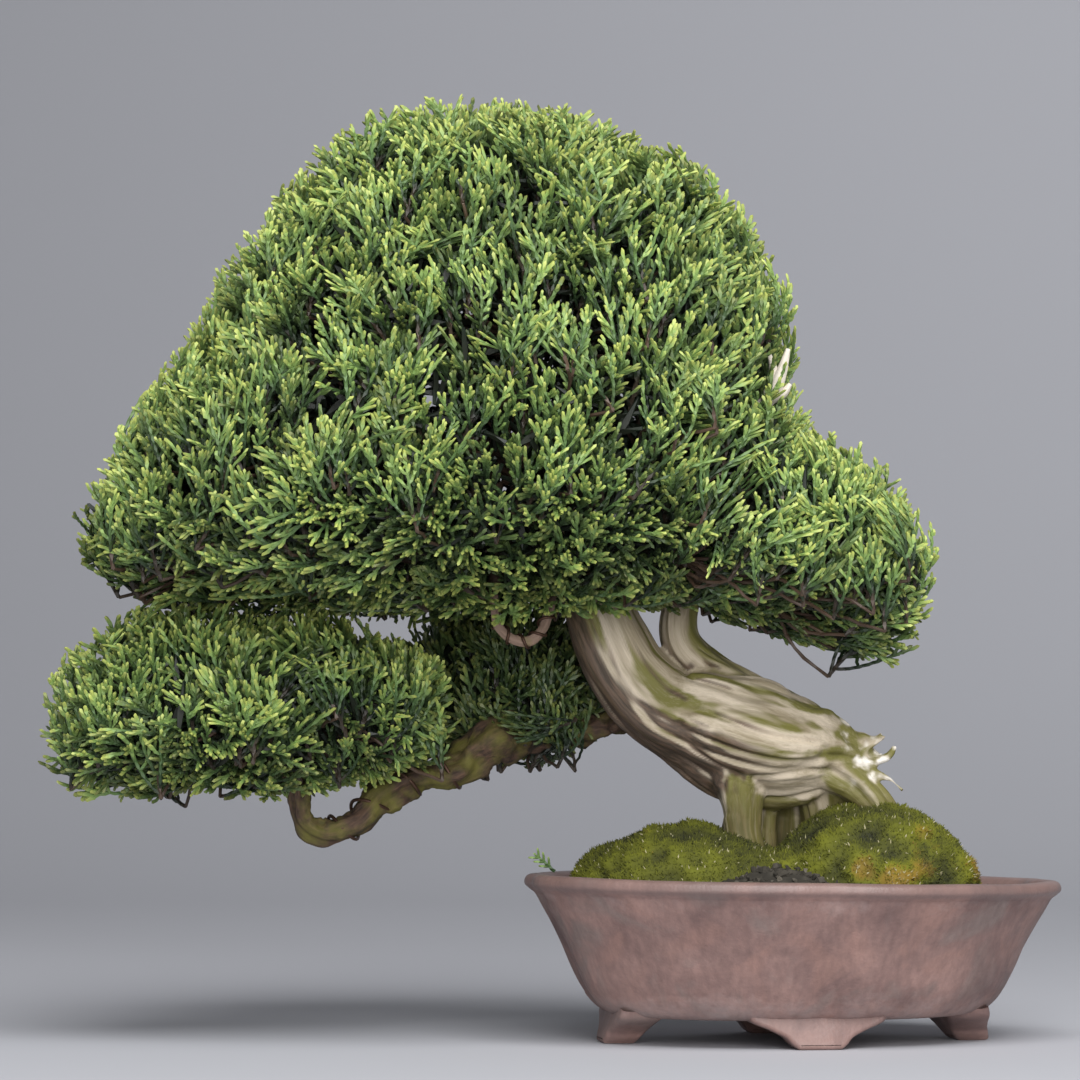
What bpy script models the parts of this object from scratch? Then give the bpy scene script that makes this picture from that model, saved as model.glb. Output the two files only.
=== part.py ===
"""A small slanting juniper bonsai in a lobed clay pot, as separate closed solids.

Lengths in the tables are millimetres, with x to the right, y to the back and z up. The pot's
middle is at x = 0, y = 0 and its feet stand on z = 0. The last step moves the whole assembly
so that the middle of its footprint box is at the world's origin.
"""

import math

import bmesh
import bpy
import numpy as np
from mathutils import Vector

MM = 0.001
GAP = 0.3  # between neighbouring solids

# Pot: half lengths along x of the outer wall at each height; y is shorter by POT_NARROWER.
POT_TURN = math.radians(8)
POT_NARROWER = 13.5
POT_BASE_Z = 6.2
POT_FLOOR_Z = 11.6
POT_TOP_Z = 38.0
POT_OUTSIDE = [
    (POT_BASE_Z, 40.0), (6.9, 44.2), (9.0, 47.3), (12.5, 50.0), (17.0, 52.4), (22.0, 54.6),
    (27.0, 57.2), (31.0, 59.4), (33.6, 60.8), (34.6, 62.0), (35.8, 63.2), (37.3, 62.9),
]
POT_INSIDE = [
    (POT_TOP_Z, 61.6), (37.8, 59.4), (36.6, 58.0), (32.0, 54.2), (24.0, 49.4), (17.0, 46.0),
    (13.0, 43.0), (POT_FLOOR_Z, 40.0),
]
POT_SIDES = 48
NOTCH_DEPTH = 0.032  # of the radius
NOTCH_WIDTH = 0.15  # in turn angle, radians
RIM_FALL = 0.014  # the hand-made rim falls this much per unit of x
FOOT_OUTLINE = [
    (-15.6, 8.0), (-13.2, 6.2), (-10.0, 4.6), (-7.4, 3.5), (-6.4, 2.2), (-5.8, 0.8), (-4.6, 0.0),
    (4.6, 0.0), (5.8, 0.8), (6.4, 2.2), (7.4, 3.5), (10.0, 4.6), (13.2, 6.2), (15.6, 8.0),
]
FOOT_THICKNESS = 7.5
FOOT_REACH = 46.0  # outer face of the end feet
FOOT_TOP_Z = 8.0
FOOT_LEAN = 0.16  # of the inner face, outwards for each unit down
FOOT_FLARE = 0.5  # of the outer face, inwards for each unit up
DRAIN_AT = 19.0
DRAIN_RADIUS = 5.0
SCREEN_CELLS = 7
SCREEN_SIDE = 15.0
SCREEN_THICKNESS = 0.9

SOIL_TOP_Z = 34.6
SOIL_HEIGHTS = [13.2, 17.0, 20.0, 24.0, 28.0, 32.0]
SOIL_FALL = 0.5  # share of the rim's fall that the soil takes
SOIL_CORNER_Z = 14.0  # below this the soil keeps further off the wall
SOIL_OFF_CORNER = 1.6
SOIL_OFF_WALL = 0.8
SOIL_BASE_LENGTH = 39.0
MOSS_LIFT = 2.0  # of each cushion's middle above the soil

# Rounded cushions and clouds: middle, then half lengths.
MOSS = {
    "moss_left": ((-31.6, -6.0, 33.0), (22.2, 23.5, 17.5)),
    "moss_front": ((-3.0, -22.0, 33.0), (20.0, 14.0, 11.5)),
    "moss_right": ((21.0, -6.0, 33.0), (24.0, 27.0, 20.0)),
    "moss_back_left": ((-21.0, 20.5, 33.0), (20.5, 12.5, 14.0)),
    "moss_back_right": ((18.0, 23.0, 33.0), (23.0, 14.0, 12.0)),
}
FOLIAGE = {
    "foliage_apex": ((-68.0, 2.0, 207.0), (36.0, 32.0, 14.5)),
    "foliage_upper_left": ((-110.0, 0.0, 189.0), (21.0, 32.0, 21.0)),
    "foliage_upper_right": ((-31.0, 2.0, 191.0), (22.0, 32.0, 21.0)),
    "foliage_upper_front": ((-70.0, -48.0, 180.0), (38.0, 14.0, 22.0)),
    "foliage_upper_back": ((-70.0, 51.0, 180.0), (38.0, 14.0, 22.0)),
    "foliage_right_shoulder": ((-12.0, 4.0, 165.0), (15.0, 36.0, 19.0)),
    "foliage_left_shoulder": ((-139.0, 0.0, 155.0), (19.0, 36.0, 19.0)),
    "foliage_mid_front_left": ((-106.0, -56.0, 150.0), (32.0, 13.0, 22.0)),
    "foliage_mid_front": ((-62.0, -63.0, 143.0), (32.0, 11.0, 24.0)),
    "foliage_mid_front_right": ((-22.0, -50.0, 141.0), (26.0, 14.0, 21.0)),
    "foliage_mid_back_left": ((-104.0, 59.0, 150.0), (32.0, 13.0, 22.0)),
    "foliage_mid_back": ((-62.0, 65.0, 143.0), (32.0, 11.0, 24.0)),
    "foliage_mid_back_right": ((-22.0, 52.0, 141.0), (26.0, 14.0, 21.0)),
    "foliage_left": ((-153.0, 0.0, 120.0), (15.0, 38.0, 20.0)),
    "foliage_low_front_left": ((-112.0, -54.0, 117.0), (30.0, 13.0, 17.0)),
    "foliage_low_front": ((-70.0, -58.0, 115.0), (32.0, 13.0, 13.0)),
    "foliage_low_back_left": ((-108.0, 56.0, 116.0), (31.0, 13.0, 17.0)),
    "foliage_low_back": ((-64.0, 60.0, 110.0), (32.0, 12.0, 17.0)),
    "foliage_right": ((11.0, -4.0, 126.0), (23.5, 32.0, 19.0)),
    "foliage_right_front": ((-20.0, -46.0, 109.0), (26.0, 14.0, 15.0)),
    "foliage_right_back": ((-16.0, 47.0, 112.0), (26.0, 14.0, 15.0)),
    "foliage_right_tip": ((24.0, -6.0, 98.0), (11.0, 18.0, 13.0)),
    "foliage_rear_low": ((-66.0, 38.0, 82.0), (25.0, 14.0, 13.0)),
    "foliage_bottom_left": ((-152.0, -8.0, 76.0), (23.0, 29.0, 22.0)),
    "foliage_bottom_front": ((-112.0, -28.0, 80.0), (31.0, 17.0, 15.0)),
    "foliage_bottom_back": ((-114.0, 26.0, 80.0), (28.0, 15.0, 14.0)),
}
CELL_RINGS = 7
CELL_SIDES = 13

# Tubes: (x, y, z, radius) at each point.
TRUNK = [
    (19.0, 1.0, 62.5, 4.5), (10.6, 1.0, 66.0, 8.0), (4.0, 0.5, 67.4, 11.5), (-4.0, 0.0, 68.8, 14.0),
    (-12.0, 0.0, 71.2, 14.6), (-21.0, 0.0, 74.4, 13.0), (-30.4, 0.0, 77.6, 10.4),
    (-38.6, 0.0, 84.6, 8.4), (-44.8, 0.0, 93.0, 7.0), (-50.0, 0.5, 103.0, 5.8),
    (-54.5, 2.0, 115.0, 5.2), (-56.0, 3.0, 130.0, 4.6), (-60.0, 3.0, 147.0, 3.8),
    (-66.0, 2.0, 163.0, 3.0), (-68.0, 2.0, 179.5, 2.0),
]
LIMB = [
    (-2.0, 2.0, 73.0, 8.0), (-11.5, 2.5, 80.5, 6.6), (-20.0, 3.0, 86.6, 6.0),
    (-25.5, 3.0, 92.5, 5.4), (-26.5, 3.0, 99.0, 5.0), (-24.0, 3.0, 107.0, 4.2),
    (-20.0, 3.0, 116.0, 3.2),
]
ROOTS = [
    [(-11.5, -4.0, 62.0, 5.0), (-12.4, -5.0, 54.0, 3.7), (-12.6, -5.6, 44.0, 3.5),
     (-13.0, -6.0, 30.0, 2.6)],
    [(-4.0, 3.0, 60.0, 4.6), (-4.6, 2.0, 52.0, 3.6), (-5.0, 2.0, 43.0, 3.4), (-5.4, 2.0, 30.0, 2.4)],
    [(7.0, 5.0, 62.0, 7.0), (8.6, 6.5, 53.0, 6.6), (9.0, 7.5, 43.0, 6.8), (9.4, 8.0, 30.0, 5.0)],
    [(9.0, -2.0, 63.0, 5.0), (15.5, -3.0, 58.5, 4.2), (21.0, -4.0, 51.5, 4.0), (24.0, -5.0, 42.0, 3.4),
     (25.0, -6.0, 30.0, 2.4)],
    [(-8.0, 7.0, 64.0, 5.6), (-11.0, 12.0, 53.0, 4.2), (-13.0, 14.0, 43.0, 3.8), (-14.0, 15.0, 30.0, 2.6)],
]
JINS = [
    [(12.0, 0.0, 69.0, 3.0), (16.5, -1.0, 71.3, 1.9), (21.6, -2.0, 71.4, 1.3)],
    [(14.0, -1.0, 65.5, 3.0), (19.5, -2.0, 66.2, 1.7), (23.9, -3.0, 68.2, 0.6)],
    [(14.0, -2.0, 62.0, 3.0), (20.5, -3.5, 61.6, 1.5), (25.8, -5.0, 57.8, 0.5)],
    [(12.0, 2.0, 62.0, 3.0), (18.5, 4.0, 59.4, 1.9), (23.0, 6.0, 55.4, 0.8)],
]
TRUNK_SIDES = 14
ROOT_SIDES = 10

# Branches: points from inside the trunk outwards, then the cloud each one carries.
BRANCHES = {
    "branch_low_left": (
        [(-32.0, 3.0, 77.5, 3.4), (-43.0, 15.0, 74.0, 3.6), (-56.0, 18.0, 71.5, 3.8),
         (-70.0, 10.0, 69.5, 4.8), (-79.0, 6.0, 63.2, 4.2), (-88.0, 3.0, 61.2, 3.7),
         (-96.0, 0.0, 57.0, 3.5), (-103.0, -2.0, 50.5, 3.4), (-110.0, -3.0, 48.6, 3.2),
         (-114.6, -4.0, 52.5, 2.8)],
        "foliage_bottom_front"),
    "branch_loop": (
        [(-48.5, -2.0, 106.0, 1.6), (-54.0, -9.0, 104.0, 1.6), (-57.0, -12.0, 99.5, 1.3),
         (-58.6, -13.5, 95.4, 1.2), (-61.6, -14.6, 92.8, 1.15), (-65.6, -15.4, 93.4, 1.15),
         (-68.6, -17.0, 96.2, 1.1), (-69.4, -20.0, 99.6, 1.0), (-69.6, -26.0, 103.0, 0.9)],
        "foliage_low_front"),
    "branch_right": (
        [(-24.0, 3.0, 107.0, 3.2), (-19.0, 0.0, 109.0, 2.4)],
        "foliage_right"),
    "branch_right_front": (
        [(-25.0, 3.0, 103.0, 3.0), (-24.0, -6.0, 106.5, 2.0)],
        "foliage_right_front"),
    "branch_right_back": (
        [(-25.0, 3.0, 103.0, 3.0), (-23.0, 11.0, 106.0, 2.0)],
        "foliage_right_back"),
    "branch_rear_low": (
        [(-38.0, 1.0, 85.0, 3.2), (-42.0, 14.0, 88.0, 2.6)],
        "foliage_rear_low"),
    "branch_left": (
        [(-55.0, 2.5, 118.0, 3.6), (-78.0, 1.0, 121.0, 3.2), (-100.0, 0.0, 119.0, 2.6)],
        "foliage_left"),
    "branch_front": (
        [(-55.5, 2.5, 124.0, 3.0), (-58.0, -12.0, 131.0, 2.4)],
        "foliage_mid_front"),
    "branch_front_left": (
        [(-56.0, 3.0, 131.0, 3.0), (-76.0, -12.0, 139.0, 2.4)],
        "foliage_mid_front_left"),
    "branch_back": (
        [(-55.5, 2.5, 125.0, 3.0), (-58.0, 17.0, 130.0, 2.4)],
        "foliage_mid_back"),
    "branch_back_left": (
        [(-57.0, 3.0, 136.0, 3.0), (-76.0, 17.0, 142.0, 2.4)],
        "foliage_mid_back_left"),
    "branch_upper_left": (
        [(-60.0, 3.0, 148.0, 3.0), (-80.0, 2.0, 158.0, 2.4)],
        "foliage_upper_left"),
    "branch_upper_right": (
        [(-58.0, 3.0, 141.0, 3.0), (-46.0, 3.0, 153.0, 2.4)],
        "foliage_right_shoulder"),
}
CROWN_JIN = [
    (-9.0, -8.0, 148.0, 1.9), (-3.0, -9.0, 151.5, 1.9), (1.8, -10.0, 156.0, 1.5),
    (4.0, -10.5, 162.5, 0.6),
]
STRAY_SPRIG = [(-55.6, -3.0, 39.4, 0.7), (-58.0, -4.0, 41.6, 0.6), (-60.4, -5.0, 43.6, 0.4)]
BRANCH_SIDES = 8
BRANCH_TAPER = 0.7  # of the last point's radius, at the cloud
THINNEST = 0.3

# Wire wound on a branch: from point, to point, turns, wire radius.
WIRES = {
    "training_wire_loop": ("branch_loop", 2, 6, 5, 0.45),
    "training_wire_low": ("branch_low_left", 4, 8, 6, 0.6),
}
WIRE_STEPS = 10  # points per turn
WIRE_ROOM = 1.12  # the branch's radius is passed by this share

COLOURS = {  # colour, roughness, metallic
    "clay": ((0.165, 0.098, 0.088), 0.75, 0.0),
    "plastic_mesh": ((0.02, 0.02, 0.02), 0.6, 0.0),
    "soil": ((0.03, 0.022, 0.016), 1.0, 0.0),
    "moss": ((0.13, 0.17, 0.015), 1.0, 0.0),
    "deadwood": ((0.46, 0.41, 0.31), 0.8, 0.0),
    "bark": ((0.16, 0.085, 0.055), 0.9, 0.0),
    "foliage": ((0.09, 0.19, 0.05), 0.7, 0.0),
    "wire": ((0.06, 0.035, 0.025), 0.5, 1.0),
}


def clear_scene():
    for thing in list(bpy.data.objects):
        bpy.data.objects.remove(thing)


def material(name):
    made = bpy.data.materials.get(name)
    if made is None:
        made = bpy.data.materials.new(name)
        made.use_nodes = True
        colour, roughness, metallic = COLOURS[name]
        shader = made.node_tree.nodes["Principled BSDF"]
        shader.inputs["Base Color"].default_value = (*colour, 1)
        shader.inputs["Roughness"].default_value = roughness
        shader.inputs["Metallic"].default_value = metallic
    return made


def add_object(name, points, faces, finish, smooth=True):
    """An object from points in millimetres, with its faces turned outwards."""
    mesh = bpy.data.meshes.new(name)
    mesh.from_pydata([tuple(c * MM for c in p) for p in points], [], faces)
    shape = bmesh.new()
    shape.from_mesh(mesh)
    bmesh.ops.recalc_face_normals(shape, faces=shape.faces)
    shape.to_mesh(mesh)
    shape.free()
    if smooth:
        mesh.shade_smooth()
        mesh.set_sharp_from_angle(angle=math.radians(50))
    thing = bpy.data.objects.new(name, mesh)
    bpy.context.collection.objects.link(thing)
    mesh.materials.append(material(finish))
    return thing


def ring_faces(rings, sides):
    """Quads between successive rings, with a flat face on the first and the last one."""
    faces = [tuple(range(sides))[::-1]]
    for r in range(rings - 1):
        for s in range(sides):
            t = (s + 1) % sides
            faces.append((r * sides + s, r * sides + t, (r + 1) * sides + t, (r + 1) * sides + s))
    faces.append(tuple(range((rings - 1) * sides, rings * sides)))
    return faces


def as_guide(thing):
    thing.hide_render = True
    thing.display_type = "WIRE"
    return thing


def boolean(thing, other, operation):
    """Takes other away from thing, or joins it on."""
    step = thing.modifiers.new(operation.lower(), "BOOLEAN")
    step.operation = operation
    step.object = other
    return step


def united(name, pieces, finish):
    """One object from overlapping pieces, which are used up."""
    first = pieces[0]
    for piece in pieces[1:]:
        boolean(first, piece, "UNION")
    graph = bpy.context.evaluated_depsgraph_get()
    mesh = bpy.data.meshes.new_from_object(first.evaluated_get(graph))
    mesh.name = name
    mesh.materials.clear()
    mesh.materials.append(material(finish))
    for piece in pieces:
        bpy.data.objects.remove(piece)
    thing = bpy.data.objects.new(name, mesh)
    bpy.context.collection.objects.link(thing)
    return thing


# --- Pot -----------------------------------------------------------------


def pot_ring(z, half_length, inward=0.0, lean=1.0):
    """The lobed outline at one height; lean is how much of the rim's fall it takes."""
    ring = []
    for s in range(POT_SIDES):
        a = 2 * math.pi * s / POT_SIDES
        notch = sum(
            math.exp(-((math.remainder(a - k * math.pi / 2, 2 * math.pi) / NOTCH_WIDTH) ** 2))
            for k in range(4)
        )
        size = 1 - NOTCH_DEPTH * notch
        x = (half_length - inward) * math.cos(a) * size
        y = (half_length - POT_NARROWER - inward) * math.sin(a) * size
        turned = (
            x * math.cos(POT_TURN) - y * math.sin(POT_TURN),
            x * math.sin(POT_TURN) + y * math.cos(POT_TURN),
        )
        ring.append((*turned, z - RIM_FALL * lean * turned[0]))
    return ring


def rim_share(z):
    """Full fall at the rim, none at the base and on the floor."""
    return min(max((z - POT_FLOOR_Z) / (POT_TOP_Z - POT_FLOOR_Z), 0.0), 1.0)


def foot(place):
    """One bracket foot under the notch numbered place, as a slab on edge."""
    angle = place * math.pi / 2
    reach = FOOT_REACH - (POT_NARROWER if place % 2 else 0.0)
    out = (math.cos(angle), math.sin(angle))
    along = (-out[1], out[0])
    points = []
    for depth in (reach - FOOT_THICKNESS, reach):
        for u, z in FOOT_OUTLINE:
            lean = FOOT_LEAN * (FOOT_TOP_Z - z) if depth < reach else -FOOT_FLARE * z
            x = out[0] * (depth + lean) + along[0] * u
            y = out[1] * (depth + lean) + along[1] * u
            points.append((
                x * math.cos(POT_TURN) - y * math.sin(POT_TURN),
                x * math.sin(POT_TURN) + y * math.cos(POT_TURN),
                z,
            ))
    return add_object(f"foot_{place}", points, ring_faces(2, len(FOOT_OUTLINE)), "clay", False)


def turned_about_pot(x, y):
    c, s = math.cos(POT_TURN), math.sin(POT_TURN)
    return (x * c - y * s, x * s + y * c)


def cylinder(name, x, y, low, high, radius, sides=20):
    turns = [2 * math.pi * s / sides for s in range(sides)]
    points = [
        (x + radius * math.cos(a), y + radius * math.sin(a), z)
        for z in (low, high)
        for a in turns
    ]
    return add_object(name, points, ring_faces(2, sides), "clay")


def make_pot():
    rings = [pot_ring(z, a, lean=rim_share(z)) for z, a in POT_OUTSIDE + POT_INSIDE]
    points = [p for ring in rings for p in ring]
    body = add_object("pot_body", points, ring_faces(len(rings), POT_SIDES), "clay")
    pot = united("pot", [body] + [foot(k) for k in range(4)], "clay")
    for name, side in (("drain_left", -1), ("drain_right", 1)):
        x, y = turned_about_pot(side * DRAIN_AT, 0.0)
        low, high = POT_BASE_Z - DRAIN_RADIUS, POT_FLOOR_Z + DRAIN_RADIUS
        hole = as_guide(cylinder(name, x, y, low, high, DRAIN_RADIUS))
        boolean(pot, hole, "DIFFERENCE")


def make_screen(name, side):
    """A square of plastic mesh: a thin plate with rows of square holes."""
    x, y = turned_about_pot(side * DRAIN_AT, 0.0)
    step = SCREEN_SIDE / SCREEN_CELLS
    count = SCREEN_CELLS + 1
    low = POT_FLOOR_Z + GAP
    points = [
        (x - SCREEN_SIDE / 2 + i * step, y - SCREEN_SIDE / 2 + j * step, z)
        for z in (low, low + SCREEN_THICKNESS)
        for i in range(count)
        for j in range(count)
    ]
    top = count * count

    def solid(i, j):
        inside = 0 <= i < SCREEN_CELLS and 0 <= j < SCREEN_CELLS
        return inside and not (i % 2 and j % 2)

    faces = []
    for i in range(SCREEN_CELLS):
        for j in range(SCREEN_CELLS):
            if not solid(i, j):
                continue
            a, b, c, d = i * count + j, (i + 1) * count + j, (i + 1) * count + j + 1, i * count + j + 1
            faces.append((a, d, c, b))
            faces.append((a + top, b + top, c + top, d + top))
            for (p, q), (m, n) in (((a, b), (i, j - 1)), ((b, c), (i + 1, j)),
                                   ((c, d), (i, j + 1)), ((d, a), (i - 1, j))):
                if not solid(m, n):
                    faces.append((p, q, q + top, p + top))
    return add_object(name, points, faces, "plastic_mesh", False)


def box_guide(name, x, y, low, high, half):
    points = [
        (x + i * half, y + j * half, z)
        for z in (low, high)
        for i, j in ((-1, -1), (1, -1), (1, 1), (-1, 1))
    ]
    return as_guide(add_object(name, points, ring_faces(2, 4), "soil", False))


def inside_length(z):
    """Half length of the pot's inner wall at a height."""
    heights = [p[0] for p in POT_INSIDE][::-1]
    lengths = [p[1] for p in POT_INSIDE][::-1]
    return float(np.interp(z, heights[:-1], lengths[:-1]))


def make_soil():
    rings = [pot_ring(POT_FLOOR_Z + GAP, SOIL_BASE_LENGTH, lean=0.0)]
    for z in SOIL_HEIGHTS + [SOIL_TOP_Z]:
        inset = SOIL_OFF_CORNER if z < SOIL_CORNER_Z else SOIL_OFF_WALL
        rings.append(pot_ring(z, inside_length(z), inward=inset, lean=rim_share(z) * SOIL_FALL))
    points = [p for ring in rings for p in ring]
    soil = add_object("soil", points, ring_faces(len(rings), POT_SIDES), "soil")
    for name, side in (("pocket_left", -1), ("pocket_right", 1)):
        x, y = turned_about_pot(side * DRAIN_AT, 0.0)
        top = POT_FLOOR_Z + GAP + SCREEN_THICKNESS + GAP
        boolean(soil, box_guide(name, x, y, POT_FLOOR_Z - 1, top, SCREEN_SIDE / 2 + GAP), "DIFFERENCE")
    return soil


# --- Cushions and clouds ----------------------------------------------------


def reach_along(half, direction):
    """How far an ellipsoid of these half lengths reaches in a direction."""
    return 1 / math.sqrt(sum((d / h) ** 2 for d, h in zip(direction, half)))


def parting_planes(clouds, name):
    """The planes that part one cloud from its neighbours, half a gap off the middle."""
    middle, half = Vector(clouds[name][0]), clouds[name][1]
    planes = []
    for other, (place, size) in clouds.items():
        apart = Vector(place) - middle
        distance = apart.length
        if other == name or distance > max(half) + max(size):
            continue
        across = apart / distance
        mine, theirs = reach_along(half, across), reach_along(size, across)
        planes.append((across, distance * mine / (mine + theirs) - GAP / 2))
    return planes


def cell_reach(half, planes, direction):
    reach = reach_along(half, direction)
    for across, distance in planes:
        facing = across.dot(direction)
        if facing > 1e-6:
            reach = min(reach, distance / facing)
    return reach


def make_cell(name, middle, half, planes, finish):
    """A rounded body pared back to its parting planes."""
    points = []
    for r in range(1, CELL_RINGS):
        polar = math.pi * r / CELL_RINGS
        for s in range(CELL_SIDES):
            turn = 2 * math.pi * (s + 0.5 * (r % 2)) / CELL_SIDES
            points.append((
                half[0] * math.sin(polar) * math.cos(turn),
                half[1] * math.sin(polar) * math.sin(turn),
                half[2] * math.cos(polar),
            ))
    points += [(0, 0, half[2]), (0, 0, -half[2])]
    placed = []
    for p in points:
        way = Vector(p).normalized()
        placed.append(Vector(middle) + way * cell_reach(half, planes, way))
    top, bottom = len(points) - 2, len(points) - 1
    faces = []
    for r in range(CELL_RINGS - 2):
        for s in range(CELL_SIDES):
            t = (s + 1) % CELL_SIDES
            a, b = r * CELL_SIDES + s, r * CELL_SIDES + t
            c, d = a + CELL_SIDES, b + CELL_SIDES
            if r % 2:
                faces += [(a, c, b), (b, c, d)]
            else:
                faces += [(a, d, b), (a, c, d)]
    last = (CELL_RINGS - 2) * CELL_SIDES
    for s in range(CELL_SIDES):
        t = (s + 1) % CELL_SIDES
        faces += [(top, s, t), (bottom, last + t, last + s)]
    return add_object(name, placed, faces, finish)


def make_foliage():
    for name, (middle, half) in FOLIAGE.items():
        cloud = make_cell(name, middle, half, parting_planes(FOLIAGE, name), "foliage")
        if name == "foliage_right_shoulder":
            room = as_guide(tube("jin_clearance", CROWN_JIN, 6, "deadwood", swell=2 * GAP))
            boolean(cloud, room, "DIFFERENCE")


def make_moss():
    down = Vector((0, 0, -1))
    for name, (middle, half) in MOSS.items():
        raised = (middle[0], middle[1], SOIL_TOP_Z + MOSS_LIFT)
        planes = parting_planes(MOSS, name) + [(down, MOSS_LIFT - 2 * GAP)]
        lower = (half[0], half[1], half[2] - (raised[2] - middle[2]))
        yield make_cell(name, raised, lower, planes, "moss")


# --- Wood ------------------------------------------------------------------


def curve_through(route, per_span=3):
    """A smooth curve through the points of a route, radius included."""
    knots = np.array(route, float)
    ends = np.vstack([2 * knots[0] - knots[1], knots, 2 * knots[-1] - knots[-2]])
    out = []
    for i in range(1, len(ends) - 2):
        p0, p1, p2, p3 = ends[i - 1:i + 3]
        for k in range(per_span):
            t = k / per_span
            out.append(0.5 * (2 * p1 + (p2 - p0) * t + (2 * p0 - 5 * p1 + 4 * p2 - p3) * t * t
                              + (3 * p1 - p0 - 3 * p2 + p3) * t ** 3))
    out.append(knots[-1])
    return np.array(out)


def frames_along(places):
    """A side and an up direction at each place, turning as little as possible."""
    ways = np.gradient(places, axis=0)
    ways /= np.linalg.norm(ways, axis=1)[:, None]
    side = np.cross(ways[0], (0.13, 0.97, 0.21))
    found = []
    for way in ways:
        side = side - way * side.dot(way)
        side /= np.linalg.norm(side)
        found.append((side, np.cross(way, side)))
    return found


def tube(name, route, sides, finish, swell=0.0, per_span=2):
    """A closed round-sectioned limb along a route; swell thickens it all round."""
    path = curve_through(route, per_span)
    points = []
    for (x, y, z, radius), (side, up) in zip(path, frames_along(path[:, :3])):
        radius = max(radius, THINNEST) + swell
        for s in range(sides):
            a = 2 * math.pi * s / sides
            points.append(np.array((x, y, z)) + radius * (math.cos(a) * side + math.sin(a) * up))
    return add_object(name, points, ring_faces(len(path), sides), finish)


def trunk_solid(name, swell=0.0):
    pieces = [tube("stem", TRUNK, TRUNK_SIDES, "deadwood", swell)]
    pieces.append(tube("limb", LIMB, TRUNK_SIDES - 2, "deadwood", swell))
    pieces += [tube(f"root_{k}", route, ROOT_SIDES, "deadwood", swell) for k, route in enumerate(ROOTS)]
    pieces += [tube(f"jin_{k}", route, 6, "deadwood", swell) for k, route in enumerate(JINS)]
    return united(name, pieces, "deadwood")


def branch_route(name):
    """A branch's points, ending just short of the cloud it carries."""
    points, cloud = BRANCHES[name]
    middle, half = FOLIAGE[cloud]
    last = Vector(points[-1][:3])
    way = (last - Vector(middle)).normalized()
    reach = cell_reach(half, parting_planes(FOLIAGE, cloud), way) + 2 * GAP
    end = Vector(middle) + way * reach
    thin = points[-1][3] * BRANCH_TAPER
    return points + [(*end, thin)]


def make_branch(name, clearance):
    branch = tube(name, branch_route(name), BRANCH_SIDES, "bark")
    boolean(branch, clearance, "DIFFERENCE")
    return branch


def wire_along(name):
    """Wire wound round a branch, clear of its bark."""
    branch, first, last, turns, wire_radius = WIRES[name]
    per_span = 2
    path = curve_through(branch_route(branch), per_span)
    frames = frames_along(path[:, :3])
    steps = turns * WIRE_STEPS
    spots = np.linspace(first * per_span, last * per_span, steps + 1)
    index = np.arange(len(path))
    line = []
    for k, spot in enumerate(spots):
        x, y, z, radius = (np.interp(spot, index, path[:, c]) for c in range(4))
        side, up = (np.array([np.interp(spot, index, [f[n][c] for f in frames]) for c in range(3)])
                    for n in (0, 1))
        a = 2 * math.pi * k / WIRE_STEPS
        away = radius * WIRE_ROOM + wire_radius + GAP
        line.append(np.array((x, y, z)) + away * (math.cos(a) * side + math.sin(a) * up))
    curve = bpy.data.curves.new(name, "CURVE")
    curve.dimensions = "3D"
    curve.bevel_depth = wire_radius * MM
    curve.bevel_resolution = 1
    curve.use_fill_caps = True
    spline = curve.splines.new("POLY")
    spline.points.add(len(line) - 1)
    for point, place in zip(spline.points, line):
        point.co = (*(place * MM), 1)
    curve.materials.append(material("wire"))
    thing = bpy.data.objects.new(name, curve)
    bpy.context.collection.objects.link(thing)


def make_tree():
    trunk_solid("trunk")
    clearance = as_guide(trunk_solid("trunk_clearance", swell=GAP + 0.1))
    for name in BRANCHES:
        make_branch(name, clearance)
    for name in WIRES:
        wire_along(name)
    tube("crown_jin", CROWN_JIN, 6, "deadwood")
    tube("stray_sprig", STRAY_SPRIG, 6, "foliage")
    return clearance


# --- Assembly ---------------------------------------------------------------


def centre_footprint():
    """Puts the middle of the whole footprint at the origin, under one empty."""
    bpy.context.view_layer.update()
    graph = bpy.context.evaluated_depsgraph_get()
    shown = [o for o in bpy.data.objects if not o.hide_render]
    corners = []
    for thing in shown:
        mesh = thing.evaluated_get(graph).to_mesh()
        corners += [thing.matrix_world @ v.co for v in mesh.vertices]
        thing.evaluated_get(graph).to_mesh_clear()
    corners = np.array(corners)
    middle = (corners.min(0) + corners.max(0)) / 2
    holder = bpy.data.objects.new("bonsai", None)
    bpy.context.collection.objects.link(holder)
    for thing in list(bpy.data.objects):
        if thing is not holder:
            thing.parent = holder
    holder.location = (-middle[0], -middle[1], 0)


def main():
    clear_scene()
    make_pot()
    make_screen("drainage_screen_left", -1)
    make_screen("drainage_screen_right", 1)
    soil = make_soil()
    clearance = make_tree()
    boolean(soil, clearance, "DIFFERENCE")
    for cushion in make_moss():
        boolean(cushion, clearance, "DIFFERENCE")
    make_foliage()
    centre_footprint()


main()
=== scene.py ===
"""Looks of a small slanting juniper bonsai in a lobed clay pot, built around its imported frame.

Lengths in the tables are millimetres from the middle of the pot on its feet, with x to the
right, y to the back and z up. Every mesh is moved to the frame's own place in metres.
"""

import math

import bpy
import numpy as np
from bpy.props import FloatProperty, FloatVectorProperty, IntProperty, PointerProperty
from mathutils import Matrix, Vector
from mathutils.bvhtree import BVHTree


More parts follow.
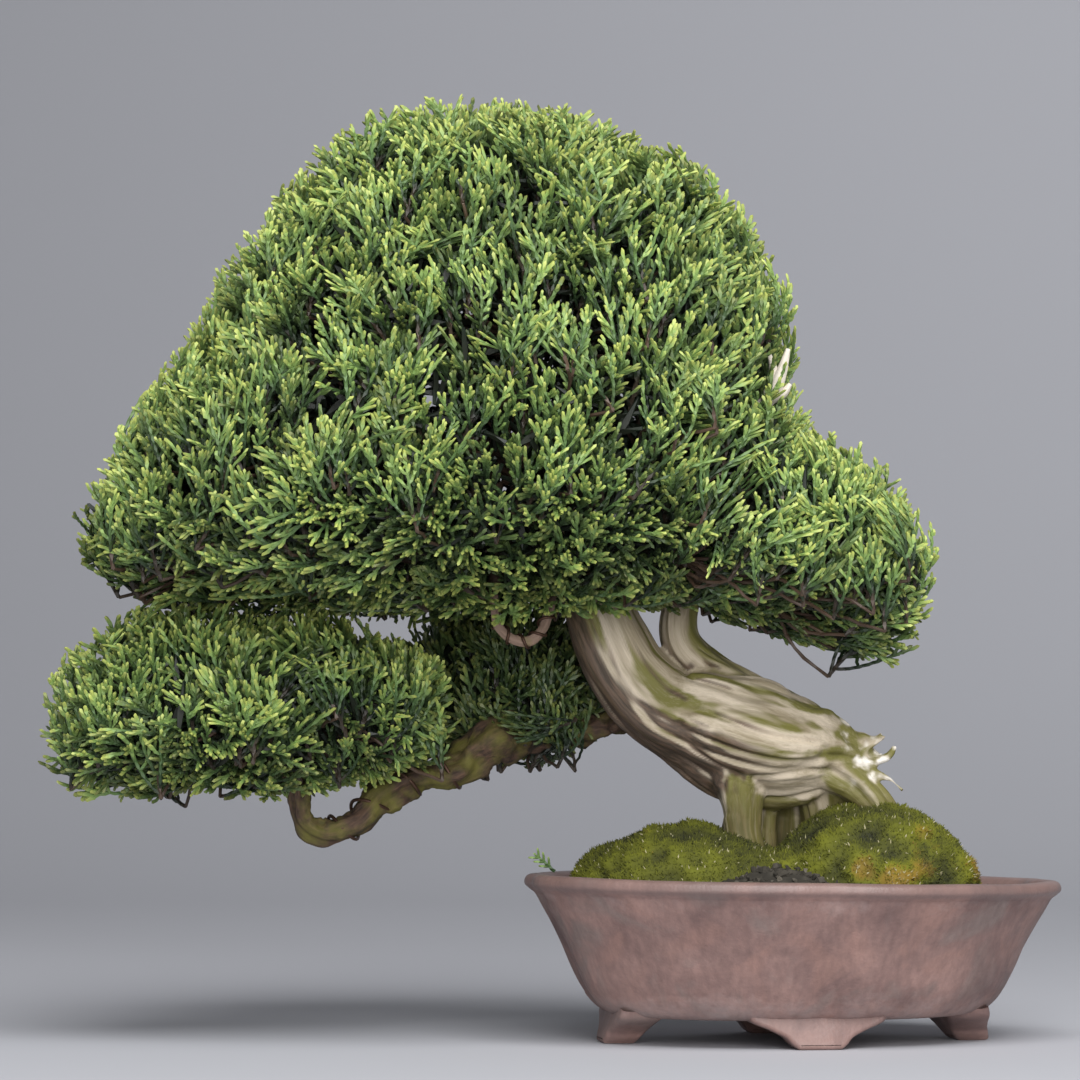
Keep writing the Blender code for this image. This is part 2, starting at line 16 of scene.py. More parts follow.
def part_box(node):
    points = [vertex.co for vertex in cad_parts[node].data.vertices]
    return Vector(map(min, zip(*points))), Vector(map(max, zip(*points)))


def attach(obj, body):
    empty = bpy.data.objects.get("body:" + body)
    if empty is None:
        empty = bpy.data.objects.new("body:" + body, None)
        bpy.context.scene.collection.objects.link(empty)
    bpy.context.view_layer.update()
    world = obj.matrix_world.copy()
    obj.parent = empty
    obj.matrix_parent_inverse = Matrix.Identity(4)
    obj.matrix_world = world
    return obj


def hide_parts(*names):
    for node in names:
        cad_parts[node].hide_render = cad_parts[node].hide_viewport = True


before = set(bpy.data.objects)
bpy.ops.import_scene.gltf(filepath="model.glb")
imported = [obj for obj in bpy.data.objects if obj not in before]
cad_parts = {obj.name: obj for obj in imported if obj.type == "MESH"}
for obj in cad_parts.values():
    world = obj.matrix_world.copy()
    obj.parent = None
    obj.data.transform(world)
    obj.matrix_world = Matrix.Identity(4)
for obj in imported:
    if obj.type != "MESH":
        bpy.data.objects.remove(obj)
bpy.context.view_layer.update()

bl_info = {
    "name": "Juniper bonsai",
    "version": (1, 0, 0),
    "blender": (4, 5, 0),
    "location": "3D View > Sidebar > Bonsai",
    "description": "Builds a small juniper bonsai in a lobed clay pot around its packed frame",
    "category": "Add Mesh",
}

MM = 0.001
POT_LOW, POT_HIGH = (np.array(corner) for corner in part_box("pot"))
POT_PLACE = np.array(((POT_LOW[0] + POT_HIGH[0]) / 2, (POT_LOW[1] + POT_HIGH[1]) / 2, 0.0))
SEED = 4

# --- Sizes of the pieces --------------------------------------------------------

POT_TURN = math.radians(8)
POT_NARROWER = 13.5
POT_FLOOR_Z = 11.6
POT_PROFILE = [  # height, half length along x, from the base up over the lip to the floor
    (6.2, 40.0), (6.9, 44.2), (9.0, 47.3), (12.5, 50.0), (17.0, 52.4), (22.0, 54.6),
    (27.0, 57.2), (31.0, 59.4), (33.6, 60.8), (34.6, 62.0), (35.8, 63.2), (37.3, 62.9),
    (38.0, 61.6), (37.8, 59.4), (36.6, 58.0), (32.0, 54.2), (24.0, 49.4), (17.0, 46.0),
    (13.0, 43.0), (11.6, 40.0),
]
NOTCH_DEPTH = 0.032
NOTCH_WIDTH = 0.12
RIM_FALL = 0.014
FOOT_OUTLINE = [
    (-16.4, 8.0), (-15.0, 6.0), (-11.0, 4.3), (-7.8, 2.7), (-6.6, 1.4), (-5.4, 0.4), (-4.0, 0.0),
    (4.0, 0.0), (5.4, 0.4), (6.6, 1.4), (7.8, 2.7), (11.0, 4.3), (15.0, 6.0), (16.4, 8.0),
]
FOOT_TOP_Z = 8.0
FOOT_LEAN = 0.75  # of the inner face, outwards for each unit down
FOOT_FLARE = 0.36  # of the outer face, inwards for each unit up
FOOT_THICKNESS = 14.0
FOOT_REACH = 46.0
DRAIN_AT = 19.0
DRAIN_RADIUS = 5.0
DRAIN_CUT = (3.0, 15.0)  # heights between which the hole is cut
SOIL_TOP_Z = 34.6
SOIL_BOTTOM_Z = 13.0

MOSS = {  # middle, then half lengths
    "moss_left": ((-25.0, -6.0, 33.0), (28.5, 23.5, 18.0)),
    "moss_front": ((-3.0, -18.0, 33.0), (15.0, 10.0, 11.5)),
    "moss_right": ((17.5, -6.0, 33.0), (26.5, 27.0, 22.5)),
    "moss_back_left": ((-21.0, 20.5, 33.0), (20.5, 12.5, 14.0)),
    "moss_back_right": ((18.0, 23.0, 33.0), (23.0, 14.0, 12.0)),
}

SPECK_SHARE = 0.03

# Limbs: (x, y, z, radius) at each point.
TRUNK = [
    (19.0, 1.0, 62.5, 4.5), (10.6, 1.0, 66.0, 8.0), (4.0, 0.5, 67.4, 11.5), (-4.0, 0.0, 68.8, 14.0),
    (-12.0, 0.0, 71.2, 14.6), (-21.0, 0.0, 74.4, 13.0), (-30.4, 0.0, 77.6, 10.4),
    (-37.8, 0.0, 84.6, 9.2), (-42.6, 0.0, 93.0, 8.9), (-46.6, 0.5, 103.0, 8.0),
    (-51.0, 2.0, 115.0, 6.6), (-55.0, 3.0, 130.0, 5.0), (-60.0, 3.0, 147.0, 3.8),
    (-66.0, 2.0, 163.0, 3.0), (-68.0, 2.0, 179.5, 2.0),
]
LIMB = [
    (-2.0, 2.0, 73.0, 8.0), (-11.5, 2.5, 80.5, 6.6), (-20.0, 3.0, 86.6, 6.0),
    (-25.5, 3.0, 92.5, 5.4), (-26.5, 3.0, 99.0, 5.0), (-24.0, 3.0, 107.0, 4.2),
    (-20.0, 3.0, 116.0, 3.2),
]
ROOTS = [
    [(-11.5, -3.0, 65.0, 9.0), (-12.6, -4.6, 57.5, 5.4), (-12.2, -5.6, 49.0, 4.2),
     (-11.6, -6.0, 42.0, 4.8),
     (-12.0, -6.0, 30.0, 4.0)],
    [(-5.0, 4.0, 61.0, 5.0), (-6.4, 4.0, 52.0, 3.4), (-6.8, 4.0, 43.0, 3.8), (-7.4, 4.0, 30.0, 2.8)],
    [(7.0, 5.0, 62.0, 7.0), (8.6, 6.5, 53.0, 6.6), (9.0, 7.5, 43.0, 6.8), (9.4, 8.0, 30.0, 5.0)],
    [(9.0, -2.0, 63.0, 5.0), (15.5, -3.0, 58.5, 4.2), (21.0, -4.0, 51.5, 4.0), (24.0, -5.0, 42.0, 3.4),
     (25.0, -6.0, 30.0, 2.4)],
    [(2.0, 8.0, 62.0, 6.5), (2.0, 12.5, 52.0, 5.8), (2.0, 14.5, 42.0, 5.6), (2.0, 15.5, 30.0, 4.0)],
    [(-8.0, 7.0, 64.0, 5.6), (-11.0, 12.0, 53.0, 4.2), (-13.0, 14.0, 43.0, 3.8),
     (-14.0, 15.0, 30.0, 2.6)],
]
JINS = [
    [(12.0, 0.0, 69.0, 3.0), (16.5, -1.0, 71.0, 1.6), (18.8, -1.6, 70.4, 1.1), (21.4, -2.0, 71.2, 1.5)],
    [(14.0, -1.0, 65.5, 3.0), (19.0, -2.0, 65.4, 1.3), (22.2, -2.6, 66.2, 0.9), (23.9, -3.0, 68.6, 0.5)],
    [(14.0, -2.0, 62.0, 3.0), (19.5, -3.5, 61.8, 1.2), (23.0, -4.4, 60.4, 0.7), (25.8, -5.0, 57.8, 0.4)],
    [(12.0, 2.0, 62.0, 3.0), (18.5, 4.0, 59.4, 1.9), (23.0, 6.0, 55.4, 0.8)],
]
BRANCHES = {
    "branch_low_left": [
        (-32.0, 3.0, 77.5, 3.4), (-43.0, 15.0, 74.0, 3.6), (-56.0, 18.0, 71.5, 3.8),
        (-70.0, 10.0, 69.5, 4.8), (-79.0, 6.0, 63.2, 4.2), (-88.0, 3.0, 61.2, 3.7),
        (-96.0, 0.0, 57.0, 3.5), (-103.0, -2.0, 50.5, 3.4), (-110.0, -3.0, 48.6, 3.2),
        (-114.6, -4.0, 52.5, 2.8), (-115.0, -8.0, 60.0, 2.2)],
    "branch_loop": [
        (-48.5, -2.0, 106.0, 1.6), (-54.0, -9.0, 104.0, 1.6), (-57.0, -12.0, 99.5, 1.3),
        (-58.6, -13.5, 95.4, 1.2), (-61.6, -14.6, 92.8, 1.15), (-65.6, -15.4, 93.4, 1.15),
        (-68.6, -17.0, 96.2, 1.1), (-69.4, -20.0, 99.6, 1.0), (-69.6, -26.0, 103.0, 0.9)],
    "branch_right": [(-24.0, 3.0, 107.0, 3.2), (-19.0, 0.0, 109.0, 2.4), (-8.0, -2.0, 113.0, 1.8)],
    "branch_right_front": [(-25.0, 3.0, 103.0, 3.0), (-24.0, -6.0, 106.5, 2.0),
                           (-22.0, -28.0, 107.5, 1.5)],
    "branch_right_back": [(-25.0, 3.0, 103.0, 3.0), (-23.0, 11.0, 106.0, 2.0),
                          (-20.0, 30.0, 108.5, 1.5)],
    "branch_rear_low": [(-38.0, 1.0, 85.0, 3.2), (-42.0, 14.0, 88.0, 2.6), (-52.0, 26.0, 86.0, 1.9)],
    "branch_left": [
        (-55.0, 2.5, 118.0, 3.6), (-78.0, 1.0, 121.0, 3.2), (-100.0, 0.0, 119.0, 2.6),
        (-132.0, 0.0, 119.0, 1.8)],
    "branch_front": [(-55.5, 2.5, 124.0, 3.0), (-58.0, -12.0, 131.0, 2.4), (-60.0, -42.0, 138.0, 1.6)],
    "branch_front_left": [(-56.0, 3.0, 131.0, 3.0), (-76.0, -12.0, 139.0, 2.4),
                          (-92.0, -38.0, 145.0, 1.6)],
    "branch_back": [(-55.5, 2.5, 125.0, 3.0), (-58.0, 17.0, 130.0, 2.4), (-60.0, 44.0, 138.0, 1.6)],
    "branch_back_left": [(-57.0, 3.0, 136.0, 3.0), (-76.0, 17.0, 142.0, 2.4), (-92.0, 42.0, 146.0, 1.6)],
    "branch_upper_left": [(-60.0, 3.0, 148.0, 3.0), (-80.0, 2.0, 158.0, 2.4), (-96.0, 1.0, 173.0, 1.6)],
    "branch_upper_right": [(-58.0, 3.0, 141.0, 3.0), (-46.0, 3.0, 153.0, 2.4), (-30.0, 3.0, 161.0, 1.6)],
}
CROWN_JINS = [
    [(-11.0, -8.0, 146.0, 2.2), (-5.6, -9.0, 150.0, 1.9), (-3.0, -10.0, 155.0, 1.3),
     (-1.2, -10.5, 161.0, 0.5)],
    [(-6.6, -9.0, 149.0, 1.6), (-2.6, -9.4, 150.4, 1.2), (-0.6, -9.8, 152.8, 0.5)],
    [(-5.0, -9.0, 151.0, 1.5), (-4.6, -9.4, 156.0, 1.0), (-5.6, -9.8, 160.0, 0.4)],
]
STRAY_SPRIG = [(-55.6, -3.0, 39.4, 0.7), (-58.0, -4.0, 41.6, 0.6), (-60.4, -5.0, 43.6, 0.4)]
WIRES = {  # branch, from point, to point, turns, wire radius
    "training_wire_loop": ("branch_loop", 2, 6, 4, 0.36),
    "training_wire_low": ("branch_low_left", 4, 8, 4, 0.42),
}
PADS = [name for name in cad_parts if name.startswith("foliage_")]


def linear(code):
    """A linear colour from an sRGB hex code."""
    parts = [int(code[k:k + 2], 16) / 255 for k in (1, 3, 5)]
    return tuple(c / 12.92 if c <= 0.04045 else ((c + 0.055) / 1.055) ** 2.4 for c in parts)


def colour_property(name, description, code):
    return FloatVectorProperty(
        name=name, description=description, subtype="COLOR", size=3, min=0.0, max=1.0,
        default=linear(code))


# --- Settings ---------------------------------------------------------------------


class BonsaiStageSettings(bpy.types.PropertyGroup):
    sweep: colour_property("Sweep", "Paint of the floor and the curved wall behind it", "#B4B5BB")
    key_power: FloatProperty(
        name="Key light", description="Power of the large soft light overhead", unit="POWER",
        default=20.0, min=0.0)
    fill_power: FloatProperty(
        name="Fill light", description="Power of the soft light beside the camera", unit="POWER",
        default=18.0, min=0.0)
    wash_power: FloatProperty(
        name="Wall light", description="Power of the light on the wall behind", unit="POWER",
        default=13.0, min=0.0)
    surroundings: FloatProperty(
        name="Surroundings", description="Brightness of the grey room", default=0.18, min=0.0)


class BonsaiPotSettings(bpy.types.PropertyGroup):
    clay: colour_property("Clay", "Fired purple-brown clay", "#9C7D75")
    # Its darker tone also paints the shade on the lip.
    clay_dark: colour_property("Clay, dark", "Clay where the kiln and hands darkened it", "#725A56")
    clay_violet: colour_property("Clay, violet", "Clay bloomed violet grey in the kiln", "#81736E")
    clay_brick: colour_property("Clay, brick", "Clay left redder by the kiln", "#98766C")
    lime: colour_property("Lime film", "Chalky film left by hard water", "#AEA2A0")
    wobble: FloatProperty(
        name="Wobble", description="How far the hand-pressed wall strays", unit="LENGTH",
        default=0.3 * MM, min=0.0)


class BonsaiGroundSettings(bpy.types.PropertyGroup):
    soil: colour_property("Soil", "Damp baked-clay and lava grains", "#2E2A22")
    soil_pale: colour_property("Soil, pale", "Dry pumice grains", "#6B6459")
    moss_green: colour_property("Moss, green", "Fresh moss", "#575A02")
    moss_dark: colour_property("Moss, shaded", "Moss between the lumps", "#1A1D04")
    moss_gold: colour_property("Moss, golden", "Dry moss and seed stalks", "#6A5210")
    moss_speck: colour_property("Moss, specks", "Pale dead tips and seed heads", "#A9A482")
    grains: IntProperty(name="Grains", description="How many loose grains lie on top", default=2600,
                        min=0)


class BonsaiWoodSettings(bpy.types.PropertyGroup):
    cream: colour_property("Deadwood, cream", "Bleached heartwood", "#CDBFA9")
    grey: colour_property("Deadwood, weathered", "Grey-brown weathered grain", "#918469")
    white: colour_property("Deadwood, white", "Wood whitened with lime sulphur", "#EFE9DF")
    algae: colour_property("Algae", "Olive film in the grain", "#6B6827")
    bark: colour_property("Bark", "Live bark", "#5C4636")
    bark_vein: colour_property("Bark, live vein", "Polished bark of the live vein on the trunk",
                               "#604A3C")
    bark_peeled: colour_property("Bark, peeled", "Smooth pinkish bark of small peeled branches",
                                 "#9C8372")
    bark_dark: colour_property("Bark, cracks", "Cracks and old strips in the bark", "#32251D")
    voxel: FloatProperty(
        name="Voxel", description="Grid that joins the limbs into one skin", unit="LENGTH",
        default=0.42 * MM, min=0.2 * MM)


class BonsaiFoliageSettings(bpy.types.PropertyGroup):
    tip: colour_property("Tips", "Growing tips", "#AFB75E")
    young: colour_property("Young shoots", "Shoots of the season", "#7F9A51")
    mature: colour_property("Mature shoots", "Scale leaves of past seasons", "#537040")
    # Painted shade as well as older leaves: the feet and deep parts of the shoots and the inner twigs
    # darken toward it.
    shaded: colour_property("Inner shoots", "Old scale leaves inside", "#20311C")
    twig: colour_property("Twigs", "Brown twigs that carry the shoots", "#554234")
    spacing: FloatProperty(
        name="Spacing", description="Room between neighbouring shoots", unit="LENGTH",
        default=6.05 * MM, min=3.0 * MM)
    shoot: FloatProperty(
        name="Shoot", description="Length of one shoot", unit="LENGTH", default=18.0 * MM,
        min=5.0 * MM)


# --- Mesh making --------------------------------------------------------------------


def noise(points, seed=0):
    """Smooth noise between -1 and 1, one lattice cell per unit."""
    points = np.asarray(points, float)
    cell = np.floor(points).astype(np.int64)
    part = points - cell
    ease = part ** 3 * (part * (part * 6 - 15) + 10)
    total = np.zeros(len(points))
    for corner in range(8):
        step = np.array([corner & 1, corner >> 1 & 1, corner >> 2 & 1])
        c = cell + step
        h = (c[:, 0] * 73856093) ^ (c[:, 1] * 19349663) ^ (c[:, 2] * 83492791) ^ (seed * 982451653)
        h = (h & 0x7FFFFFFF) * 1103515245 + 12345
        h = ((h ^ (h >> 15)) & 0x7FFFFFFF) * 1597334677
        value = ((h >> 12) & 0xFFFF) / 32767.5 - 1
        total += value * np.prod(np.where(step, ease, 1 - ease), axis=1)
    return total


def layered(points, octaves, seed=0):
    """Noise with finer layers added, each half as strong."""
    return sum(noise(np.asarray(points) * 2 ** k, seed + 17 * k) / 2 ** k for k in range(octaves))


def smoothstep(low, high, value):
    t = np.clip((value - low) / (high - low), 0, 1)
    return t * t * (3 - 2 * t)


def unit(v):
    return v / np.maximum(np.linalg.norm(v, axis=-1, keepdims=True), 1e-9)


def make_object(name, points, faces, material, smooth=True, layers=None, palette=None):
    """An object from points in millimetres and a list of arrays of faces.

    layers holds values for each point. palette holds two shares for each point, which the
    material looks its colour up by and which serve as the bake map too.
    """
    mesh = bpy.data.meshes.new(name)
    points = np.asarray(points, float) * MM + POT_PLACE
    mesh.vertices.add(len(points))
    mesh.vertices.foreach_set("co", points.astype(np.float32).ravel())
    corners = np.concatenate([np.asarray(f).ravel() for f in faces])
    counts = np.concatenate([np.full(len(f), np.asarray(f).shape[1]) for f in faces])
    mesh.loops.add(len(corners))
    mesh.loops.foreach_set("vertex_index", corners.astype(np.int32))
    mesh.polygons.add(len(counts))
    mesh.polygons.foreach_set("loop_start",
                              np.concatenate([[0], np.cumsum(counts)[:-1]]).astype(np.int32))
    mesh.polygons.foreach_set("use_smooth", np.full(len(counts), smooth))
    mesh.update(calc_edges=True)
    mesh.validate()
    add_layers(mesh, layers, palette)
    mesh.materials.append(material)
    thing = bpy.data.objects.new(name, mesh)
    bpy.context.scene.collection.objects.link(thing)
    return thing


def add_layers(mesh, layers=None, palette=None):
    for key, values in (layers or {}).items():
        values = np.asarray(values, np.float32)
        kind, field = ("FLOAT", "value") if values.ndim == 1 else ("FLOAT_VECTOR", "vector")
        mesh.attributes.new(key, kind, "POINT").data.foreach_set(field, values.ravel())
    if palette is not None:
        low, high = palette.min(0), palette.max(0)
        spread = 0.02 + 0.96 * (palette - low) / np.maximum(high - low, 1e-6)
        corner = np.empty(len(mesh.loops), np.int32)
        mesh.loops.foreach_get("vertex_index", corner)
        mesh.uv_layers.new(name="OFBake").data.foreach_set("uv",
                                                           spread[corner].astype(np.float32).ravel())
        full = np.column_stack([palette, np.zeros(len(palette))]).astype(np.float32)
        mesh.attributes.new("palette", "FLOAT_VECTOR", "POINT").data.foreach_set("vector", full.ravel())


def curve_through(route, per_span):
    """A smooth curve through the points of a route, with the other columns carried along."""
    knots = np.array(route, float)
    ends = np.vstack([2 * knots[0] - knots[1], knots, 2 * knots[-1] - knots[-2]])
    out = []
    for i in range(1, len(ends) - 2):
        p0, p1, p2, p3 = ends[i - 1:i + 3]
        for k in range(per_span):
            t = k / per_span
            out.append(0.5 * (2 * p1 + (p2 - p0) * t + (2 * p0 - 5 * p1 + 4 * p2 - p3) * t * t
                              + (3 * p1 - p0 - 3 * p2 + p3) * t ** 3))
    out.append(knots[-1])
    return np.array(out)


def frames_along(places):
    """Way, side and up at each place, turning as little as possible."""
    way = unit(np.gradient(places, axis=0))
    side = np.cross(way[0], (0.13, 0.97, 0.21))
    sides = []
    for w in way:
        side = side - w * side.dot(w)
        side = side / np.linalg.norm(side)
        sides.append(side)
    sides = np.array(sides)
    return way, sides, np.cross(way, sides)


def ring_quads(rings, sides):
    """Quads between successive rings of points."""
    r = np.arange(rings - 1)[:, None] * sides
    s = np.arange(sides)[None, :]
    t = (s + 1) % sides
    return np.stack([r + s, r + t, r + sides + t, r + sides + s], -1).reshape(-1, 4)


def end_caps(rings, sides):
    """One face over the first ring and one over the last."""
    return np.array([np.arange(sides)[::-1], np.arange(sides) + (rings - 1) * sides])


def triangles(quads, caps=()):
    """The quads halved, and each cap as a fan."""
    fans = [np.column_stack([np.full(len(cap) - 2, cap[0]), cap[1:-1], cap[2:]]) for cap in caps]
    return np.vstack([quads[:, [0, 1, 2]], quads[:, [0, 2, 3]]] + fans)


class Limb:
    """A round-sectioned limb along a route, with its own frame at each step."""

    def __init__(self, route, per_span):
        path = curve_through(route, per_span)
        self.centre, self.radius = path[:, :3], np.maximum(path[:, 3], 0.25)
        self.way, self.side, self.up = frames_along(self.centre)
        steps = np.linalg.norm(np.diff(self.centre, axis=0), axis=1)
        self.along = np.concatenate([[0], np.cumsum(steps)])

    def skin(self, sides, shape=None):
        """Points and faces of its surface; shape gives a share of the radius for (along, turn)."""
        turn = 2 * math.pi * np.arange(sides) / sides
        share = np.ones((len(self.centre), sides))
        if shape is not None:
            share = shape(self.along[:, None], turn[None, :])
        reach = (self.radius[:, None] * share)[..., None]
        out = (np.cos(turn)[None, :, None] * self.side[:, None] + np.sin(turn)[None, :,
                                                                               None] * self.up[:, None])
        points = (self.centre[:, None] + reach * out).reshape(-1, 3)
        grain = np.stack([
            (reach[..., 0] * np.cos(turn)), (reach[..., 0] * np.sin(turn)),
            np.repeat(self.along[:, None], sides, 1)], -1).reshape(-1, 3)
        rings = len(self.centre)
        return points, [ring_quads(rings, sides), end_caps(rings, sides)], grain

    def local(self, points):
        """Each point's place across and along the limb, and its distance off the surface."""
        nearest = np.empty(len(points), int)
        for first in range(0, len(points), 20000):
            part = points[first:first + 20000]
            apart = ((part[:, None] - self.centre[None]) ** 2).sum(-1)
            nearest[first:first + 20000] = apart.argmin(1)
        off = points - self.centre[nearest]
        across = (off * self.side[nearest]).sum(1)
        upward = (off * self.up[nearest]).sum(1)
        along = self.along[nearest] + (off * self.way[nearest]).sum(1)
        gap = np.linalg.norm(off, axis=1) - self.radius[nearest]
        return np.column_stack([across, upward, along]), gap


class Sheaf:
    """Many small closed pieces gathered into one mesh."""

    def __init__(self):
        self.points, self.faces, self.palette, self.count = [], [], [], 0

    def add(self, points, faces, palette):
        self.points.append(points)
        self.faces.append(faces + self.count)
        self.palette.append(palette)
        self.count += len(points)

    def gathered(self):
        return np.vstack(self.points), np.vstack(self.faces), np.vstack(self.palette)


def cord(line, radii, ages, tone, sides=3):
    """A thin shoot with a pointed end; each ring is turned half a step, like scale leaves."""
    line = np.asarray(line, float)
    way = unit(np.gradient(line, axis=0))
    guide = np.cross(way.mean(0), (0.31, 0.22, 0.93))
    if np.linalg.norm(guide) < 0.1:
        guide = np.cross(way.mean(0), (0.9, 0.1, 0.2))
    side = unit(guide - way * (way @ guide)[:, None])
    up = np.cross(way, side)
    rings = len(line)
    turn = (2 * np.arange(sides)[None, :] + np.arange(rings)[:, None]) * math.pi / sides
    out = np.cos(turn)[..., None] * side[:, None] + np.sin(turn)[..., None] * up[:, None]
    points = (line[:, None] + np.asarray(radii)[:, None, None] * out).reshape(-1, 3)
    apex = line[-1] + way[-1] * radii[-1] * 0.9
    points = np.vstack([points, apex])
    r = np.arange(rings - 1)[:, None] * sides
    s = np.arange(sides)[None, :]
    t = (s + 1) % sides
    first = np.stack([r + s, r + t, r + sides + s], -1).reshape(-1, 3)
    second = np.stack([r + t, r + sides + t, r + sides + s], -1).reshape(-1, 3)
    last = (rings - 1) * sides
    end = np.stack([last + s[0], last + t[0], np.full(sides, rings * sides)], -1)
    base = [(0, 2, 1)] if sides == 3 else [(0, 2, 1), (0, 3, 2)]
    faces = np.vstack([first, second, end, base])
    u = np.repeat(np.asarray(ages)[:, None], sides, 1)
    v = tone + 0.015 * np.cos(turn)
    palette = np.vstack([np.stack([u, v], -1).reshape(-1, 2), (ages[-1] - 0.02, tone)])
    return points, faces, palette


# --- Materials ------------------------------------------------------------------------


def add_node(tree, kind, inputs=None, stops=None, **settings):
    """Adds a shader node; inputs take a value or another node's output."""
    made = tree.nodes.new(kind)
    for key, value in settings.items():
        setattr(made, key, value)
    for key, value in (inputs or {}).items():
        if isinstance(value, bpy.types.NodeSocket):
            tree.links.new(value, made.inputs[key])
        else:
            made.inputs[key].default_value = value
    if stops:
        ramp = made.color_ramp
        while len(ramp.elements) < len(stops):
            ramp.elements.new(0.5)
        for element, (place, colour) in zip(ramp.elements, stops):
            element.position = place
            element.color = (*colour, 1.0) if len(colour) == 3 else colour
    return made


def start_material(name, roughness):
    material = bpy.data.materials.new(name)
    material.use_nodes = True
    tree = material.node_tree
    tree.nodes.clear()
    shader = add_node(tree, "ShaderNodeBsdfPrincipled", {"Roughness": roughness, "IOR": 1.5})
    add_node(tree, "ShaderNodeOutputMaterial", {"Surface": shader.outputs["BSDF"]})
    return material, tree, shader


def mixed(tree, factor, one, two):
    """The output of a colour mix."""
    made = add_node(tree, "ShaderNodeMix", {"Factor": factor, 6: one, 7: two}, data_type="RGBA")
    return made.outputs[2]


def rgba(colour):
    return (*colour[:3], 1.0)


def paint_material(colour):
    # Matt emulsion on a smooth sweep: even and soft, with a faint roller texture.
    material, tree, shader = start_material("matt_emulsion_rolled", 0.9)
    place = add_node(tree, "ShaderNodeTexCoord").outputs["Object"]
    cloud = add_node(tree, "ShaderNodeTexNoise", {"Vector": place, "Scale": 3.0, "Detail": 2.0})
    paint = mixed(tree, cloud.outputs[0], rgba(tinted(colour, 0.97)), rgba(colour))
    tree.links.new(paint, shader.inputs["Base Color"])
    stipple = add_node(tree, "ShaderNodeTexNoise", {"Vector": place, "Scale": 900.0, "Detail": 1.0})
    bump = add_node(tree, "ShaderNodeBump",
                    {"Strength": 0.03, "Distance": 0.0002, "Height": stipple.outputs[0]})
    tree.links.new(bump.outputs[0], shader.inputs["Normal"])
    return material


def clay_material(settings):
    # Unglazed stoneware, pressed, scraped and rubbed: a dull glow with chalky film and fine streaks.
    material, tree, shader = start_material("stoneware_unglazed_rubbed", 0.55)
    place = add_node(tree, "ShaderNodeTexCoord").outputs["Object"]
    broad = add_node(tree, "ShaderNodeTexNoise",
                     {"Vector": place, "Scale": 55.0, "Detail": 5.0, "Roughness": 0.6})
    share = add_node(tree, "ShaderNodeMapRange", {"Value": broad.outputs[0], 1: 0.36, 2: 0.64})
    clay = mixed(tree, share.outputs[0], rgba(settings.clay_dark), rgba(settings.clay))
    # Patches 10 to 20 mm wide lean toward violet grey, others toward brick.
    patch = add_node(tree, "ShaderNodeTexNoise",
                     {"Vector": place, "Scale": 65.0, "Detail": 5.0, "Distortion": 0.8})
    violet = add_node(tree, "ShaderNodeMapRange", {"Value": patch.outputs[0], 1: 0.52, 2: 0.66, 4: 0.7})
    brick = add_node(tree, "ShaderNodeMapRange", {"Value": patch.outputs[0], 1: 0.46, 2: 0.36, 4: 0.6})
    clay = mixed(tree, violet.outputs[0], clay, rgba(settings.clay_violet))
    clay = mixed(tree, brick.outputs[0], clay, rgba(settings.clay_brick))
    # Streaks are 1 to 2 mm wide and run down the wall.
    tall = add_node(tree, "ShaderNodeMapping", {"Vector": place, "Scale": (700.0, 700.0, 45.0)})
    streak = add_node(tree, "ShaderNodeTexNoise",
                      {"Vector": tall.outputs[0], "Scale": 1.0, "Detail": 3.0})
    streak_share = add_node(tree, "ShaderNodeMapRange",
                            {"Value": streak.outputs[0], 1: 0.35, 2: 0.75, 4: 0.35})
    clay = mixed(tree, streak_share.outputs[0], clay, rgba(tinted(settings.clay_dark, 0.55)))
    # The film gathers under the lip and along the foot of the wall.
    film = add_node(tree, "ShaderNodeTexNoise",
                    {"Vector": place, "Scale": 120.0, "Detail": 7.0, "Roughness": 0.7})
    where = add_node(tree, "ShaderNodeAttribute", attribute_name="film").outputs["Fac"]
    raised = add_node(tree, "ShaderNodeMath", {0: film.outputs[0], 1: where}, operation="ADD")
    cover = add_node(tree, "ShaderNodeMapRange", {"Value": raised.outputs[0], 1: 0.66, 2: 1.12, 4: 0.5})
    clay = mixed(tree, cover.outputs[0], clay, rgba(settings.lime))
    # Painted shade: the lip is darkened against the overhead light on its top, and polished. The feet,
    # whose film is -0.14, are darkened a little by the same mix.
    lip_painted_shade = add_node(tree, "ShaderNodeMapRange", {"Value": where, 1: 0.0, 2: -0.3, 4: 0.62})
    clay = mixed(tree, lip_painted_shade.outputs[0], clay,
                 rgba(tinted(settings.clay_dark, 0.92, settings.clay_violet, 0.3)))
    tree.links.new(clay, shader.inputs["Base Color"])
    rough = add_node(tree, "ShaderNodeMapRange",
                     {"Value": raised.outputs[0], 1: 0.1, 2: 1.0, 3: 0.4, 4: 0.78})
    tree.links.new(rough.outputs[0], shader.inputs["Roughness"])
    grit = add_node(tree, "ShaderNodeTexNoise", {"Vector": place, "Scale": 1400.0, "Detail": 3.0})
    lumps = add_node(tree, "ShaderNodeTexNoise", {"Vector": place, "Scale": 160.0, "Detail": 3.0})
    height = add_node(tree, "ShaderNodeMath", {0: lumps.outputs[0], 1: 2.0, 2: grit.outputs[0]},
                      operation="MULTIPLY_ADD")
    bump = add_node(tree, "ShaderNodeBump",
                    {"Strength": 0.35, "Distance": 0.0003, "Height": height.outputs[0]})
    tree.links.new(bump.outputs[0], shader.inputs["Normal"])
    return material


